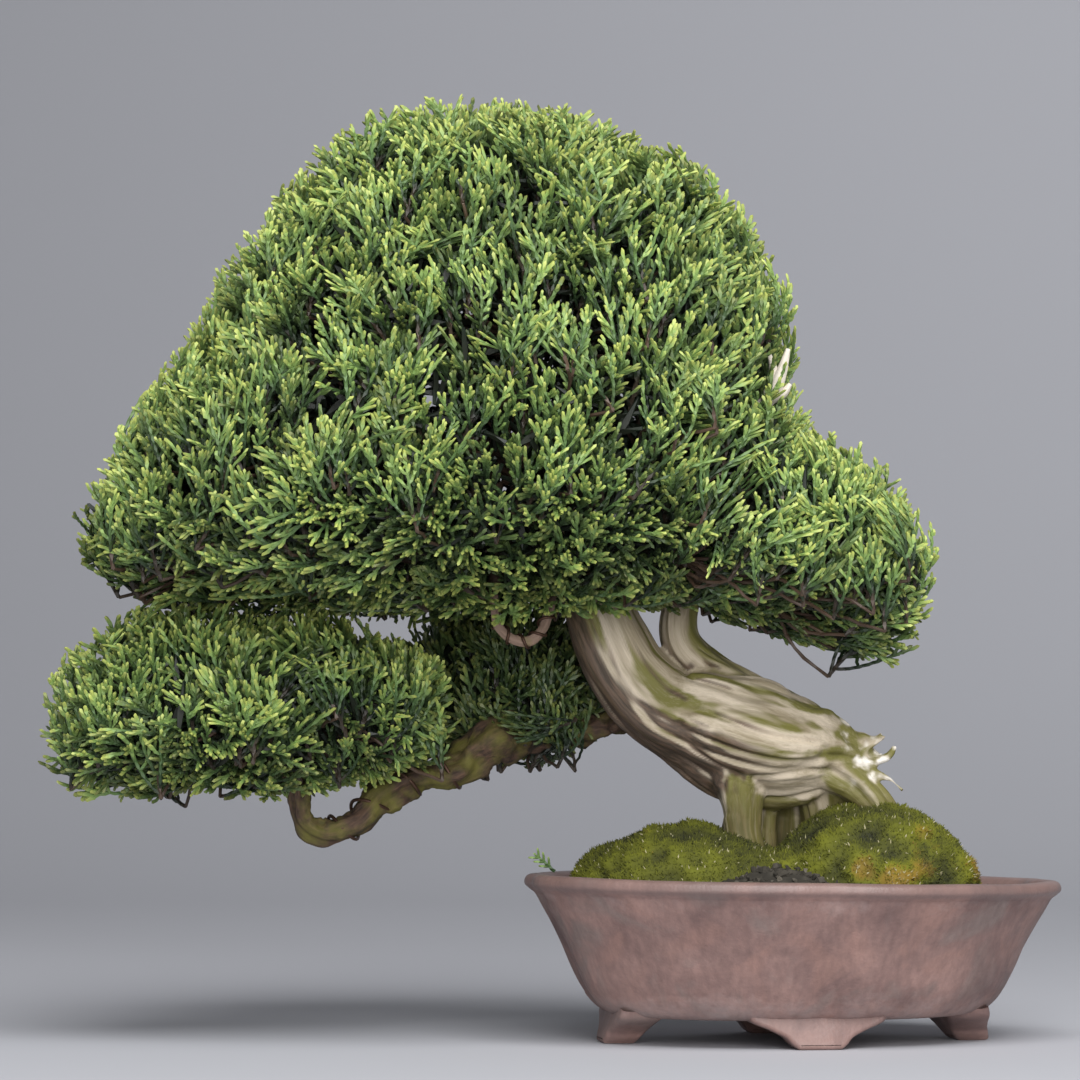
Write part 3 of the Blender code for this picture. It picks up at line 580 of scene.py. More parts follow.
def screen_material():
    # Black polyethylene mesh, moulded: waxy with a dusty bloom.
    material, tree, shader = start_material("polyethylene_mesh_moulded", 0.45)
    place = add_node(tree, "ShaderNodeTexCoord").outputs["Object"]
    dust = add_node(tree, "ShaderNodeTexNoise", {"Vector": place, "Scale": 500.0, "Detail": 4.0})
    share = add_node(tree, "ShaderNodeMapRange", {"Value": dust.outputs[0], 1: 0.5, 2: 0.75})
    tree.links.new(mixed(tree, share.outputs[0], rgba(linear("#1B1B1C")), rgba(linear("#4A443B"))),
                   shader.inputs["Base Color"])
    return material


def palette_material(name, roughness, rows):
    """A colour looked up by each point's two palette shares: a ramp for each of three rows."""
    material, tree, shader = start_material(name, roughness)
    shares = add_node(tree, "ShaderNodeAttribute", attribute_name="palette")
    split = add_node(tree, "ShaderNodeSeparateXYZ", {0: shares.outputs["Vector"]})
    low, middle, high = (
        add_node(tree, "ShaderNodeValToRGB", {0: split.outputs[0]},
                 stops=stops).outputs[0] for stops in rows)
    lower = add_node(tree, "ShaderNodeMapRange", {"Value": split.outputs[1], 1: 0.0, 2: 0.5})
    upper = add_node(tree, "ShaderNodeMapRange", {"Value": split.outputs[1], 1: 0.5, 2: 1.0})
    colour = mixed(tree, upper.outputs[0], mixed(tree, lower.outputs[0], low, middle), high)
    tree.links.new(colour, shader.inputs["Base Color"])
    return material


def tinted(colour, share, toward=(0.0, 0.0, 0.0), amount=0.0):
    """A colour made darker or lighter, then moved toward another one."""
    return tuple(min(c * share * (1 - amount) + t * amount, 1.0) for c, t in zip(colour, toward))


def foliage_material(settings):
    # Juniper scale leaves: waxy and matt, yellow-green at the tips and blue-green below, with painted
    # shade in the inner stop and the dark first row.
    stops = [(0.0, settings.tip), (0.14, settings.young), (0.42, settings.mature),
             (0.7, settings.shaded), (0.82, tinted(settings.twig, 0.8)), (1.0, settings.twig)]
    blue = linear("#3F6452")
    gold = linear("#B5B06A")
    rows = [
        # The first row, about a third as bright, takes shoots of lower tone: partly random tone, partly
        # painted shade.
        [(p, tinted(c, 0.3, blue, 0.03)) for p, c in stops],
        stops,
        [(p, tinted(c, 1.2, gold, 0.12)) for p, c in stops],
    ]
    return palette_material("juniper_scale_leaves", 0.52, rows)


def moss_material(settings):
    # Living cushion moss: velvety, with painted light on the lumps and painted shade, nearly black,
    # between them.
    green, dark, gold = settings.moss_green, settings.moss_dark, settings.moss_gold
    rows = [
        [(0.0, dark), (0.6, tinted(dark, 1.2)), (1.0, tinted(gold, 0.22))],
        [(0.0, tinted(green, 0.62)), (0.5, green), (0.75, tinted(green, 1.0, gold, 0.5)), (1.0, gold)],
        [(0.0, tinted(green, 1.3)), (0.5, tinted(green, 1.7, gold, 0.2)), (0.85, tinted(gold, 1.5)),
         (1.0, settings.moss_speck)],
    ]
    return palette_material("cushion_moss_living", 0.85, rows)


def soil_material(settings):
    # Baked clay, lava and pumice grains, damp below and dry on top: every grain has its own shade.
    dark, pale = settings.soil, settings.soil_pale
    rows = [
        [(0.0, tinted(dark, 0.5)), (1.0, tinted(dark, 0.9))],
        [(0.0, tinted(dark, 0.9)), (0.5, dark), (1.0, tinted(pale, 0.6))],
        [(0.0, tinted(dark, 1.5)), (0.6, tinted(pale, 0.7)), (1.0, tinted(pale, 1.4))],
    ]
    return palette_material("akadama_and_pumice_grains", 0.9, rows)


def deadwood_material(settings):
    # Bleached juniper heartwood, carved and weathered: silky cream ridges, dark checks along the
    # grain with painted shade in the hollows, olive algae where water stands, and a strip of flaking
    # live bark.
    material, tree, shader = start_material("juniper_deadwood_weathered", 0.68)
    layer = {key: add_node(tree, "ShaderNodeAttribute", attribute_name=key).outputs["Fac"]
             for key in ("streak", "groove_and_shade", "algae", "bark", "bleach")}
    grain = add_node(tree, "ShaderNodeAttribute", attribute_name="grain").outputs["Vector"]
    # Fibres are about 0.4 mm wide and 8 mm long; finer ones would not show.
    fine_scale = add_node(tree, "ShaderNodeMapping", {"Vector": grain, "Scale": (2.6, 2.6, 0.12)})
    fibre = add_node(tree, "ShaderNodeTexNoise",
                     {"Vector": fine_scale.outputs[0], "Scale": 1.0, "Detail": 4.0,
                                                  "Roughness": 0.65})
    mix = add_node(tree, "ShaderNodeMath", {0: fibre.outputs[0], 1: 0.9, 2: layer["streak"]},
                   operation="MULTIPLY_ADD")
    share = add_node(tree, "ShaderNodeMapRange", {"Value": mix.outputs[0], 1: 0.55, 2: 1.25})
    wood = mixed(tree, share.outputs[0], rgba(settings.grey), rgba(settings.cream))
    wood = mixed(tree, layer["bleach"], wood, rgba(settings.white))
    green = add_node(tree, "ShaderNodeMath", {0: fibre.outputs[0], 1: 1.0, 2: layer["algae"]},
                     operation="MULTIPLY_ADD")
    green_share = add_node(tree, "ShaderNodeMapRange",
                           {"Value": green.outputs[0], 1: 0.72, 2: 1.5, 4: 0.95})
    wood = mixed(tree, green_share.outputs[0], wood, rgba(settings.algae))
    flake_scale = add_node(tree, "ShaderNodeMapping", {"Vector": grain, "Scale": (1.3, 1.3, 0.16)})
    flake = add_node(tree, "ShaderNodeTexNoise",
                     {"Vector": flake_scale.outputs[0], "Scale": 1.0, "Detail": 5.0})
    flake_share = add_node(tree, "ShaderNodeMapRange", {"Value": flake.outputs[0], 1: 0.38, 2: 0.62})
    bark = mixed(tree, flake_share.outputs[0], rgba(settings.bark_dark), rgba(settings.bark_vein))
    wood = mixed(tree, layer["bark"], wood, bark)
    # Dark checks in the grain, with painted shade in every hollow of the carved wood.
    check = tinted(settings.grey, 0.34)
    wood = mixed(tree, layer["groove_and_shade"], wood, rgba(check))
    tree.links.new(wood, shader.inputs["Base Color"])
    height = add_node(tree, "ShaderNodeMath", {0: fibre.outputs[0], 1: flake.outputs[0]},
                      operation="ADD")
    bump = add_node(tree, "ShaderNodeBump",
                    {"Strength": 0.5, "Distance": 0.0003, "Height": height.outputs[0]})
    tree.links.new(bump.outputs[0], shader.inputs["Normal"])
    return material


def bark_material(settings):
    # Live juniper bark, grown in long papery strips: brown, with dark cracks and a green bloom.
    material, tree, shader = start_material("juniper_bark_flaking", 0.8)
    grain = add_node(tree, "ShaderNodeAttribute", attribute_name="grain").outputs["Vector"]
    strip_scale = add_node(tree, "ShaderNodeMapping", {"Vector": grain, "Scale": (1.1, 1.1, 0.2)})
    strip = add_node(tree, "ShaderNodeTexNoise",
                     {"Vector": strip_scale.outputs[0], "Scale": 1.0, "Detail": 6.0,
                                                  "Roughness": 0.62})
    share = add_node(tree, "ShaderNodeMapRange", {"Value": strip.outputs[0], 1: 0.36, 2: 0.64})
    bark = mixed(tree, share.outputs[0], rgba(settings.bark_dark), rgba(settings.bark))
    pale = add_node(tree, "ShaderNodeMapRange", {"Value": strip.outputs[0], 1: 0.6, 2: 0.8, 4: 0.6})
    bark = mixed(tree, pale.outputs[0], bark, rgba(tinted(settings.bark, 1.9)))
    peeled = add_node(tree, "ShaderNodeAttribute", attribute_name="peeled").outputs["Fac"]
    bark = mixed(tree, peeled, bark, rgba(settings.bark_peeled))
    bloom = add_node(tree, "ShaderNodeTexNoise", {"Vector": grain, "Scale": 0.14, "Detail": 4.0})
    mossy = add_node(tree, "ShaderNodeAttribute", attribute_name="mossy").outputs["Fac"]
    film = add_node(tree, "ShaderNodeMath", {0: bloom.outputs[0], 1: mossy}, operation="ADD")
    bloom_share = add_node(tree, "ShaderNodeMapRange",
                           {"Value": film.outputs[0], 1: 0.55, 2: 0.76, 4: 0.75})
    bark = mixed(tree, bloom_share.outputs[0], bark, rgba(settings.algae))
    tree.links.new(bark, shader.inputs["Base Color"])
    bump = add_node(tree, "ShaderNodeBump",
                    {"Strength": 0.7, "Distance": 0.0004, "Height": strip.outputs[0]})
    tree.links.new(bump.outputs[0], shader.inputs["Normal"])
    return material


def wire_material():
    # Anodised aluminium training wire, drawn: copper-brown, dulled by weather.
    material, tree, shader = start_material("aluminium_wire_anodised", 0.5)
    shader.inputs["Metallic"].default_value = 0.7
    place = add_node(tree, "ShaderNodeTexCoord").outputs["Object"]
    worn = add_node(tree, "ShaderNodeTexNoise", {"Vector": place, "Scale": 700.0, "Detail": 3.0})
    tree.links.new(mixed(tree, worn.outputs[0], rgba(linear("#3A2A22")), rgba(linear("#6B5040"))),
                   shader.inputs["Base Color"])
    return material


# --- Pieces -------------------------------------------------------------------------------


def rides(piece, nodes):
    """Fixes a piece to the frame, in place of its nodes."""
    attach(piece, "root")
    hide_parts(*nodes)
    return piece


def applied(thing):
    """The object's mesh with its modifiers made real."""
    bpy.context.view_layer.update()
    graph = bpy.context.evaluated_depsgraph_get()
    made = bpy.data.meshes.new_from_object(thing.evaluated_get(graph))
    old = thing.data
    thing.modifiers.clear()
    thing.data = made
    bpy.data.meshes.remove(old)
    return thing


def pot_ring(turn, z, half_length, lean):
    """Points of the lobed outline at one height; lean is its share of the rim's fall."""
    notch = sum(
        np.exp(-((np.remainder(turn - k * math.pi / 2 + math.pi,
                               2 * math.pi) - math.pi) / NOTCH_WIDTH) ** 2)
        for k in range(4))
    size = 1 - NOTCH_DEPTH * notch
    x = half_length * np.cos(turn) * size
    y = (half_length - POT_NARROWER) * np.sin(turn) * size
    c, s = math.cos(POT_TURN), math.sin(POT_TURN)
    across = x * c - y * s
    return np.column_stack([across, x * s + y * c, z - RIM_FALL * lean * across])


def rim_share(z):
    return np.clip((z - POT_FLOOR_Z) / (38.0 - POT_FLOOR_Z), 0.0, 1.0)


def inside_length(z):
    """Half length of the pot's inner wall at a height."""
    wall = POT_PROFILE[14:][::-1]
    return float(np.interp(z, [p[0] for p in wall], [p[1] for p in wall]))


def pot_body(settings):
    sides = 288
    turn = 2 * math.pi * np.arange(sides) / sides
    profile = curve_through(POT_PROFILE, 5)
    rings = np.array([pot_ring(turn, z, a, rim_share(z)) for z, a in profile])
    stray = settings.wobble / MM
    drift = layered(rings.reshape(-1, 3) / (26.0, 26.0, 18.0), 3, SEED).reshape(rings.shape[:2])
    outward = unit(rings - (0.0, 0.0, 1.0) * rings[..., 2:3])
    rings = rings + outward * (drift * stray)[..., None] * (profile[:, 0] > POT_FLOOR_Z)[:, None, None]
    rings[..., 2] += drift * 0.5 * stray * smoothstep(30.0, 37.0, profile[:, 0])[:, None]
    low = smoothstep(15.0, 8.5, profile[:, 0])
    high = smoothstep(29.0, 33.5, profile[:, 0]) * 0.5
    # Painted shade: film falls to -0.3 on the lip, which darkens the lip in the clay and also keeps the
    # lime off there.
    lip = smoothstep(33.8, 35.4, profile[:, 0])
    film = np.repeat((0.34 * np.maximum(low, high) * (1 - lip) - 0.3 * lip)[:, None], sides, 1).ravel()
    count = len(profile)
    return rings.reshape(-1, 3), [ring_quads(count, sides), end_caps(count, sides)], film


def pot_foot(place):
    """One bracket foot: a rounded slab on edge under a notch."""
    outline = np.array(FOOT_OUTLINE)
    smooth = curve_through(outline, 5)
    smooth[:, 1] = np.maximum(smooth[:, 1], 0.0)
    way = unit(np.gradient(smooth, axis=0))
    inwards = np.column_stack([-way[:, 1], way[:, 0]])
    angle = place * math.pi / 2
    reach = FOOT_REACH - (POT_NARROWER if place % 2 else 0.0)
    out = np.array((math.cos(angle), math.sin(angle)))
    side = np.array((-out[1], out[0]))
    c, s = math.cos(POT_TURN), math.sin(POT_TURN)
    rings = []
    for depth, inset in ((0.0, 1.0), (0.25, 0.45), (0.8, 0.12), (1.6, 0.0), (11.8, 0.0), (12.9, 0.15),
                         (13.6, 0.5), (14.0, 1.1)):
        ring = smooth + inwards * inset
        ring[:, 1] = np.maximum(ring[:, 1], 0.0)
        share = depth / FOOT_THICKNESS
        lean = FOOT_LEAN * (FOOT_TOP_Z - ring[:, 1]) * (1 - share) - FOOT_FLARE * ring[:, 1] * share
        spot = (reach - FOOT_THICKNESS + depth + lean)[:, None] * out + ring[:, :1] * side
        rings.append(np.column_stack([
            spot[:, 0] * c - spot[:, 1] * s, spot[:, 0] * s + spot[:, 1] * c, ring[:, 1]]))
    rings = np.array(rings)
    count, sides = rings.shape[:2]
    return rings.reshape(-1, 3), [ring_quads(count, sides), end_caps(count, sides)]


def build_pot(settings):
    material = clay_material(settings)
    points, faces, film = pot_body(settings)
    pot = make_object("clay_pot", points, faces, material, layers={"film": film})
    sides = 48
    turn = 2 * math.pi * np.arange(sides) / sides
    for side in (-1, 1):
        x, y = side * DRAIN_AT * math.cos(POT_TURN), side * DRAIN_AT * math.sin(POT_TURN)
        rings = [np.column_stack([x + DRAIN_RADIUS * np.cos(turn), y + DRAIN_RADIUS * np.sin(turn),
                                  np.full(sides, z)]) for z in DRAIN_CUT]
        drill = make_object("drill", np.vstack(rings), [ring_quads(2, sides), end_caps(2, sides)],
                            material)
        cut = pot.modifiers.new("drain", "BOOLEAN")
        cut.operation = "DIFFERENCE"
        cut.object = drill
        applied(pot)
        bpy.data.objects.remove(drill)
    for place in range(4):
        points, faces = pot_foot(place)
        foot = make_object(f"clay_foot_{place}", points, faces, material,
                           layers={"film": np.full(len(points), -0.14)})
        with bpy.context.temp_override(active_object=pot, selected_editable_objects=[pot, foot]):
            bpy.ops.object.join()
    pot.data.shade_smooth()
    pot.data.set_sharp_from_angle(angle=math.radians(40))
    rides(pot, ["pot"])


def soil_height(x, y):
    ground = np.column_stack([x, y, np.zeros(len(x))])
    mound = 6.5 * np.exp(-((x + 4.0) / 15.0) ** 2 - ((y + 25.0) / 10.0) ** 2)
    return SOIL_TOP_Z - 0.5 * RIM_FALL * x + mound + 0.5 * layered(ground / 9.0, 3, 31)


def build_soil(settings):
    material = soil_material(settings)
    rng = np.random.default_rng(SEED + 1)
    sides, rings = 160, 70
    turn = 2 * math.pi * np.arange(sides) / sides
    edge = pot_ring(turn, 0.0, inside_length(SOIL_TOP_Z) - 0.4, 0.0)[:, :2]
    top = []
    for share in np.linspace(1.0, 0.0, rings, endpoint=False):
        spot = edge * share
        top.append(np.column_stack([spot, soil_height(spot[:, 0], spot[:, 1])]))
    low = [pot_ring(turn, z, inside_length(z) - 0.6, 0.0) for z in (SOIL_BOTTOM_Z, 18.0, 24.0, 30.0)]
    shell = np.array(low + top)
    points = shell.reshape(-1, 3)
    points[len(low) * sides:, 2] += 0.35 * noise(points[len(low) * sides:] / 1.1, 7)
    middle = len(points)
    points = np.vstack([points, (0.0, 0.0, soil_height(np.zeros(1), np.zeros(1))[0])])
    last = (len(shell) - 1) * sides
    s = np.arange(sides)
    t = (s + 1) % sides
    quads = ring_quads(len(shell), sides)
    fan = np.column_stack([last + s, last + t, np.full(sides, middle)])
    bottom = np.column_stack([np.zeros(sides - 2, int), s[2:], s[1:-1]])
    tris = np.vstack([triangles(quads), fan, bottom])
    grit = 0.5 + 0.5 * noise(points / 1.6, 3)
    shade = 0.25 + 0.2 * noise(points / 0.8, 5)
    sheaf = Sheaf()
    sheaf.add(points, tris, np.column_stack([grit, shade]))
    ball = np.array([(x, y, z) for x in (-1, 1) for y in (-1, 1) for z in (-1, 1)], float) * 0.62
    axes = np.array([(1, 0, 0), (-1, 0, 0), (0, 1, 0), (0, -1, 0), (0, 0, 1), (0, 0, -1)], float)
    stone = np.vstack([ball, axes])
    stone_faces = np.array([(a, b, 8 + k) for k, ring in enumerate((
        (4, 6, 7, 5), (0, 1, 3, 2), (2, 3, 7, 6), (0, 4, 5, 1), (1, 5, 7, 3), (0, 2, 6, 4)))
        for a, b in zip(ring, ring[1:] + ring[:1])])
    count = settings.grains
    radius = np.sqrt(rng.random(count)) * 0.985
    way = rng.random(count) * 2 * math.pi
    outer = pot_ring(way, 0.0, inside_length(SOIL_TOP_Z) - 1.2, 0.0)[:, :2]
    spots = outer * radius[:, None]
    heights = soil_height(spots[:, 0], spots[:, 1])
    sizes = 0.45 + 0.75 * rng.random(count) ** 2
    for spot, z, size in zip(spots, heights, sizes):
        spin = np.linalg.qr(rng.normal(size=(3, 3)))[0]
        if np.linalg.det(spin) < 0:
            spin[:, 0] *= -1
        shape = stone * (1 + 0.28 * rng.normal(size=(14, 1))) * (size * np.array((1.0, 0.85, 0.7)))
        tone = rng.random(2) * (0.9, 0.75)
        palette = tone + 0.05 * rng.random((14, 2))
        sheaf.add(shape @ spin.T + (*spot, z + size * 0.25), stone_faces, palette)
    points, faces, palette = sheaf.gathered()
    soil = make_object("soil_mix", points, [faces], material, smooth=False, palette=palette)
    rides(soil, ["soil"])


def inside_pot(points, margin):
    """Moves points that stray past the pot's inner wall back inside it."""
    c, s = math.cos(-POT_TURN), math.sin(-POT_TURN)
    x = points[:, 0] * c - points[:, 1] * s
    y = points[:, 0] * s + points[:, 1] * c
    reach = inside_length(36.0) - margin
    off = np.hypot(x / reach, y / (reach - POT_NARROWER))
    share = np.where(off > 0.985, 0.985 / off, 1.0)
    return points * np.column_stack([share, share, np.ones(len(share))])


def build_moss(settings):
    material = moss_material(settings)
    rng = np.random.default_rng(SEED + 2)
    for name, (middle, half) in MOSS.items():
        sides, rings = 150, 60
        turn = 2 * math.pi * np.arange(sides) / sides
        shares = np.sin(np.linspace(0.02, 0.5, rings) * math.pi)
        dome = []
        for share in shares[::-1]:
            dome.append(np.column_stack([
                share * np.cos(turn), share * np.sin(turn),
                np.full(sides, math.sqrt(max(1 - share ** 2, 0)))]))
        ball = np.vstack(dome + [np.array([[0.0, 0.0, 1.0]])])
        base = np.array(middle) + ball * half
        normal = unit(ball / half)
        lump = (1.1 * layered(base / 8.0, 2, 41) + 0.55 * layered(base / 2.6, 2,
                                                                  43) + 0.16 * noise(base / 0.8, 47))
        points = inside_pot(base + normal * (lump - 0.8)[:, None], 1.0)
        points[:, 2] = np.maximum(points[:, 2], SOIL_TOP_Z - 2.0)
        quads = ring_quads(rings, sides)
        last = (rings - 1) * sides
        s = np.arange(sides)
        fan = np.column_stack([last + s, last + (s + 1) % sides, np.full(sides, rings * sides)])
        bottom = np.column_stack([np.zeros(sides - 2, int), s[2:], s[1:-1]])
        tris = np.vstack([triangles(quads), fan, bottom])
        band = smoothstep(46.0, 38.0, base[:, 2]) * smoothstep(2.0, 14.0, base[:, 0])
        dry = 0.86 * smoothstep(-0.1, 0.9, 0.8 * layered(base / 7.0, 3, 53)
                                + (0.75 if name == "moss_right" else 0.0) * band - 0.2)
        # Painted light and shade: the moss is lighter where the lumps bulge out and darker in the
        # hollows.
        light = 0.46 + 0.34 * lump
        sheaf = Sheaf()
        sheaf.add(points, tris, np.clip(np.column_stack([dry, light]), 0, 1))
        a, b, c = (points[tris[:-(sides - 2)][:, k]] for k in range(3))
        area = np.linalg.norm(np.cross(b - a, c - a), axis=1) / 2
        count = int(area.sum() * 2.6)
        pick = rng.choice(len(area), count, p=area / area.sum())
        mix = rng.dirichlet((1, 1, 1), count)
        foot = a[pick] * mix[:, :1] + b[pick] * mix[:, 1:2] + c[pick] * mix[:, 2:]
        rise = unit(unit(np.cross(b - a, c - a))[pick] + 0.45 * rng.normal(size=(count, 3)) + (0, 0,
                                                                                               0.35))
        tall = 0.55 + 0.6 * rng.random(count)
        side = unit(np.cross(rise, rng.normal(size=(count, 3))))
        other = np.cross(rise, side)
        wide = 0.2 + 0.12 * rng.random(count)
        corners = [foot - rise * 0.2 + wide[:, None] * (math.cos(t) * side + math.sin(t) * other)
                   for t in (0.0, 2.1, 4.2)]
        tip = foot + rise * tall[:, None]
        blades = np.stack(corners + [tip], 1).reshape(-1, 3)
        index = np.arange(count)[:, None, None] * 4
        blade_faces = (index + np.array([[(0, 1, 3), (1, 2, 3), (2, 0, 3)]])).reshape(-1, 3)
        hue = dry[tris[pick, 0]] + 0.12 * rng.normal(size=count)
        tone = light[tris[pick, 0]] + 0.1 * rng.normal(size=count)
        speck = rng.random(count) < SPECK_SHARE
        hue[speck], tone[speck] = 1.0, 1.0
        # Painted shade at the foot of each blade and painted light at its tip.
        shade = tone[:, None] + np.array([-0.22, -0.18, -0.2, 0.3])
        palette = np.stack([np.repeat(hue[:, None], 4, 1), shade], -1).reshape(-1, 2)
        sheaf.add(blades, blade_faces, np.clip(palette, 0, 1))
        points, faces, palette = sheaf.gathered()
        cushion = make_object(name.replace("moss", "moss_cushion"), points, [faces], material,
                              palette=palette)
        rides(cushion, [name])


def blended(points, limbs, value):
    """A value worked out in each limb's own frame, blended where limbs meet."""
    total, weights, best, grain = 0.0, 0.0, np.full(len(points), np.inf), np.zeros((len(points), 3))
    for k, limb in enumerate(limbs):
        place, gap = limb.local(points)
        weight = np.exp(-np.clip(gap, -4.0, 30.0) / 0.9)
        total = total + weight[:, None] * value(place, k)
        weights = weights + weight
        nearer = gap < best
        best[nearer] = gap[nearer]
        grain[nearer] = place[nearer] + (0.0, 0.0, 53.0 * k)
    return total / weights[:, None], grain


def relaxed(places, edges, rounds, share=0.5):
    """Points moved toward the middle of their neighbours."""
    count = np.bincount(edges.ravel(), minlength=len(places))[:, None]
    for _ in range(rounds):
        total = np.zeros_like(places)
        for axis in range(3):
            total[:, axis] = (np.bincount(edges[:, 0], places[edges[:, 1], axis], len(places))
                              + np.bincount(edges[:, 1], places[edges[:, 0], axis], len(places)))
        places = places + share * (total / np.maximum(count, 1) - places)
    return places


def mesh_arrays(mesh):
    places = np.empty(len(mesh.vertices) * 3)
    mesh.vertices.foreach_get("co", places)
    normals = np.empty(len(mesh.vertices) * 3)
    mesh.vertices.foreach_get("normal", normals)
    edges = np.empty(len(mesh.edges) * 2, int)
    mesh.edges.foreach_get("vertices", edges)
    return places.reshape(-1, 3), normals.reshape(-1, 3), edges.reshape(-1, 2)


def build_trunk(settings):
    material = deadwood_material(settings)
    rng = np.random.default_rng(SEED + 3)
    routes = [TRUNK, LIMB] + ROOTS + JINS
    for k in range(9):
        start = np.array((13.0 + 3.0 * rng.random(), -6.0 + 12.0 * rng.random(),
                          58.0 + 10.0 * rng.random()))
        reach = 5.0 + 5.0 * rng.random()
        way = unit(np.array((1.0, 0.25 * rng.normal(), 0.45 * rng.normal())))
        tip = start + way * reach + (0.0, 0.0, 0.6 * rng.normal())
        routes.append([(*start, 1.6), (*((start + tip) / 2 + 0.5 * rng.normal(size=3)), 1.1),
                       (*tip, 0.35)])
    limbs = [Limb(route, 16) for route in routes]

    def fluted(order):
        lead = rng.random(4) * 6.28

        def shape(along, turn):
            twist = turn + along * 0.012
            return (1 + 0.07 * np.cos(2 * twist + lead[0])
                    + 0.06 * np.cos(3 * twist + lead[1] + along * 0.02)
                    + 0.05 * np.cos(5 * twist + lead[2])
                    + 0.03 * np.cos(7 * twist + lead[3] - along * 0.03))
        return shape if order < 7 else None

    sheaf = Sheaf()
    for k, limb in enumerate(limbs):
        points, faces, _ = limb.skin(48 if k < 2 else 24, fluted(k))
        sheaf.add(points, triangles(*faces), np.zeros((len(points), 2)))
    points, faces, _ = sheaf.gathered()
    trunk = make_object("driftwood_trunk", points, [faces], material)
    join = trunk.modifiers.new("join", "REMESH")
    join.mode = "VOXEL"
    join.voxel_size = settings.voxel
    applied(trunk)
    mesh = trunk.data
    places, normals, edges = mesh_arrays(mesh)
    places = relaxed(places, edges, 3)
    local = (places - POT_PLACE) / MM

    def carve(place, k):
        sway = 0.6 * noise(place / (16.0, 16.0, 50.0), 61)[:, None]
        ridge = np.abs(noise(place / (4.2, 4.2, 80.0) + 7.0 * k + sway, 63))
        check = np.abs(noise(place / (1.8, 1.8, 45.0) + 3.0 * k + sway, 67))
        streak = layered(place / (2.2, 2.2, 60.0) + sway + 5.0 * k, 2, 71)
        film = layered(place / (2.9, 2.9, 52.0) + 1.4 * sway + 9.0 * k, 3, 73)
        return np.column_stack([ridge, check, streak, film])

    values, grain = blended(local, limbs, carve)
    ridge, check, streak, film = values.T
    stem_place, stem_gap = limbs[0].local(local)
    thick = smoothstep(1.0, 6.0, np.interp(stem_place[:, 2], limbs[0].along, limbs[0].radius)
                       * (stem_gap < 6.0) + 2.4 * (stem_gap >= 6.0))
    deep = 1.1 * (1 - smoothstep(0.0, 0.42, ridge)) + 0.22 * (1 - smoothstep(0.0, 0.35, check))
    places = places - normals * ((deep - 0.3) * (0.35 + 0.65 * thick) * MM)[:, None]
    places = relaxed(places, edges, 2, 0.6)
    mesh.vertices.foreach_set("co", places.ravel())
    mesh.update()
    places, normals, edges = mesh_arrays(mesh)
    sunk = ((relaxed(places, edges, 14) - places) * normals).sum(1) / MM
    out = unit(normals)
    x, z = local[:, 0], local[:, 2]
    # Painted shade as well as dark checks: the more sunk a point lies, in grooves and in the crevices
    # where limbs meet, the darker.
    groove_and_shade = 0.8 * smoothstep(0.16, 0.62, sunk)
    under = out @ np.array((-0.72, 0.05, -0.68))
    stem = smoothstep(3.0, 0.5, stem_gap)
    bark = 0.9 * smoothstep(0.02, 0.36, under + 0.16 * streak) * stem * smoothstep(-2.0, -14.0, x)
    roots = smoothstep(62.0, 50.0, z)
    bark = np.maximum(bark, 0.5 * roots * smoothstep(-0.9, 0.5, film))
    patchy = smoothstep(-0.45, 0.5, layered(local / 3.1, 3, 79))
    bleach = smoothstep(10.0, 20.0, x + 4.0 * patchy) * smoothstep(56.0, 63.0, z) * (1 - groove_and_shade) * patchy
    damp = (0.34 + 0.8 * smoothstep(63.0, 50.0, z) + 0.35 * smoothstep(9.0, 15.0, x)
            + 0.25 * smoothstep(0.3, 0.9, out[:, 2]) * smoothstep(-44, -6, x))
    algae = smoothstep(0.1, 0.95, film + damp + 0.7 * groove_and_shade) * (1 - 0.85 * bleach)
    add_layers(mesh, {"streak": 0.5 + 0.5 * streak, "groove_and_shade": groove_and_shade, "algae": algae,
                      "bark": bark * (1 - bleach),
                      "bleach": bleach, "grain": grain})
    mesh.shade_smooth()
    rides(trunk, ["trunk"])
    sheaf = Sheaf()
    for route in CROWN_JINS:
        points, faces, grain = Limb(route, 10).skin(16, fluted(1))
        sheaf.add(points, triangles(*faces), grain)
    points, tris, grain = sheaf.gathered()
    zero = np.zeros(len(points))
    spike = make_object("crown_jin_spike", points, [tris], material, layers={
        "streak": zero + 0.6, "groove_and_shade": zero, "algae": zero, "bark": zero, "bleach": zero + 0.5,
        "grain": grain})
    rides(spike, ["crown_jin"])


def build_branches(settings):
    material = bark_material(settings)
    for order, (name, route) in enumerate(BRANCHES.items()):
        limb = Limb(route, 14)
        knobbly = 0.3 if name == "branch_low_left" else 0.1

        def shape(along, turn, lead=order * 1.7, rough=knobbly):
            turn, along = np.broadcast_arrays(turn, along)
            round_place = np.stack([np.cos(turn) * 1.2 + lead, np.sin(turn) * 1.2, along / 6.0], -1)
            lumps = layered(round_place.reshape(-1, 3), 3, 83).reshape(turn.shape)
            ribs = 0.05 * np.cos(5 * turn + along * 0.05 + lead)
            return 1 + rough * 1.5 * lumps + ribs

        points, faces, grain = limb.skin(28, shape)
        peeled = np.full(len(points), 0.75 if name == "branch_loop" else 0.0)
        mossy = np.full(len(points), 0.14 if name == "branch_low_left" else 0.0)
        branch = make_object(name.replace("branch", "limb"), points, faces, material,
                             layers={"grain": grain, "peeled": peeled, "mossy": mossy})
        rides(branch, [name])


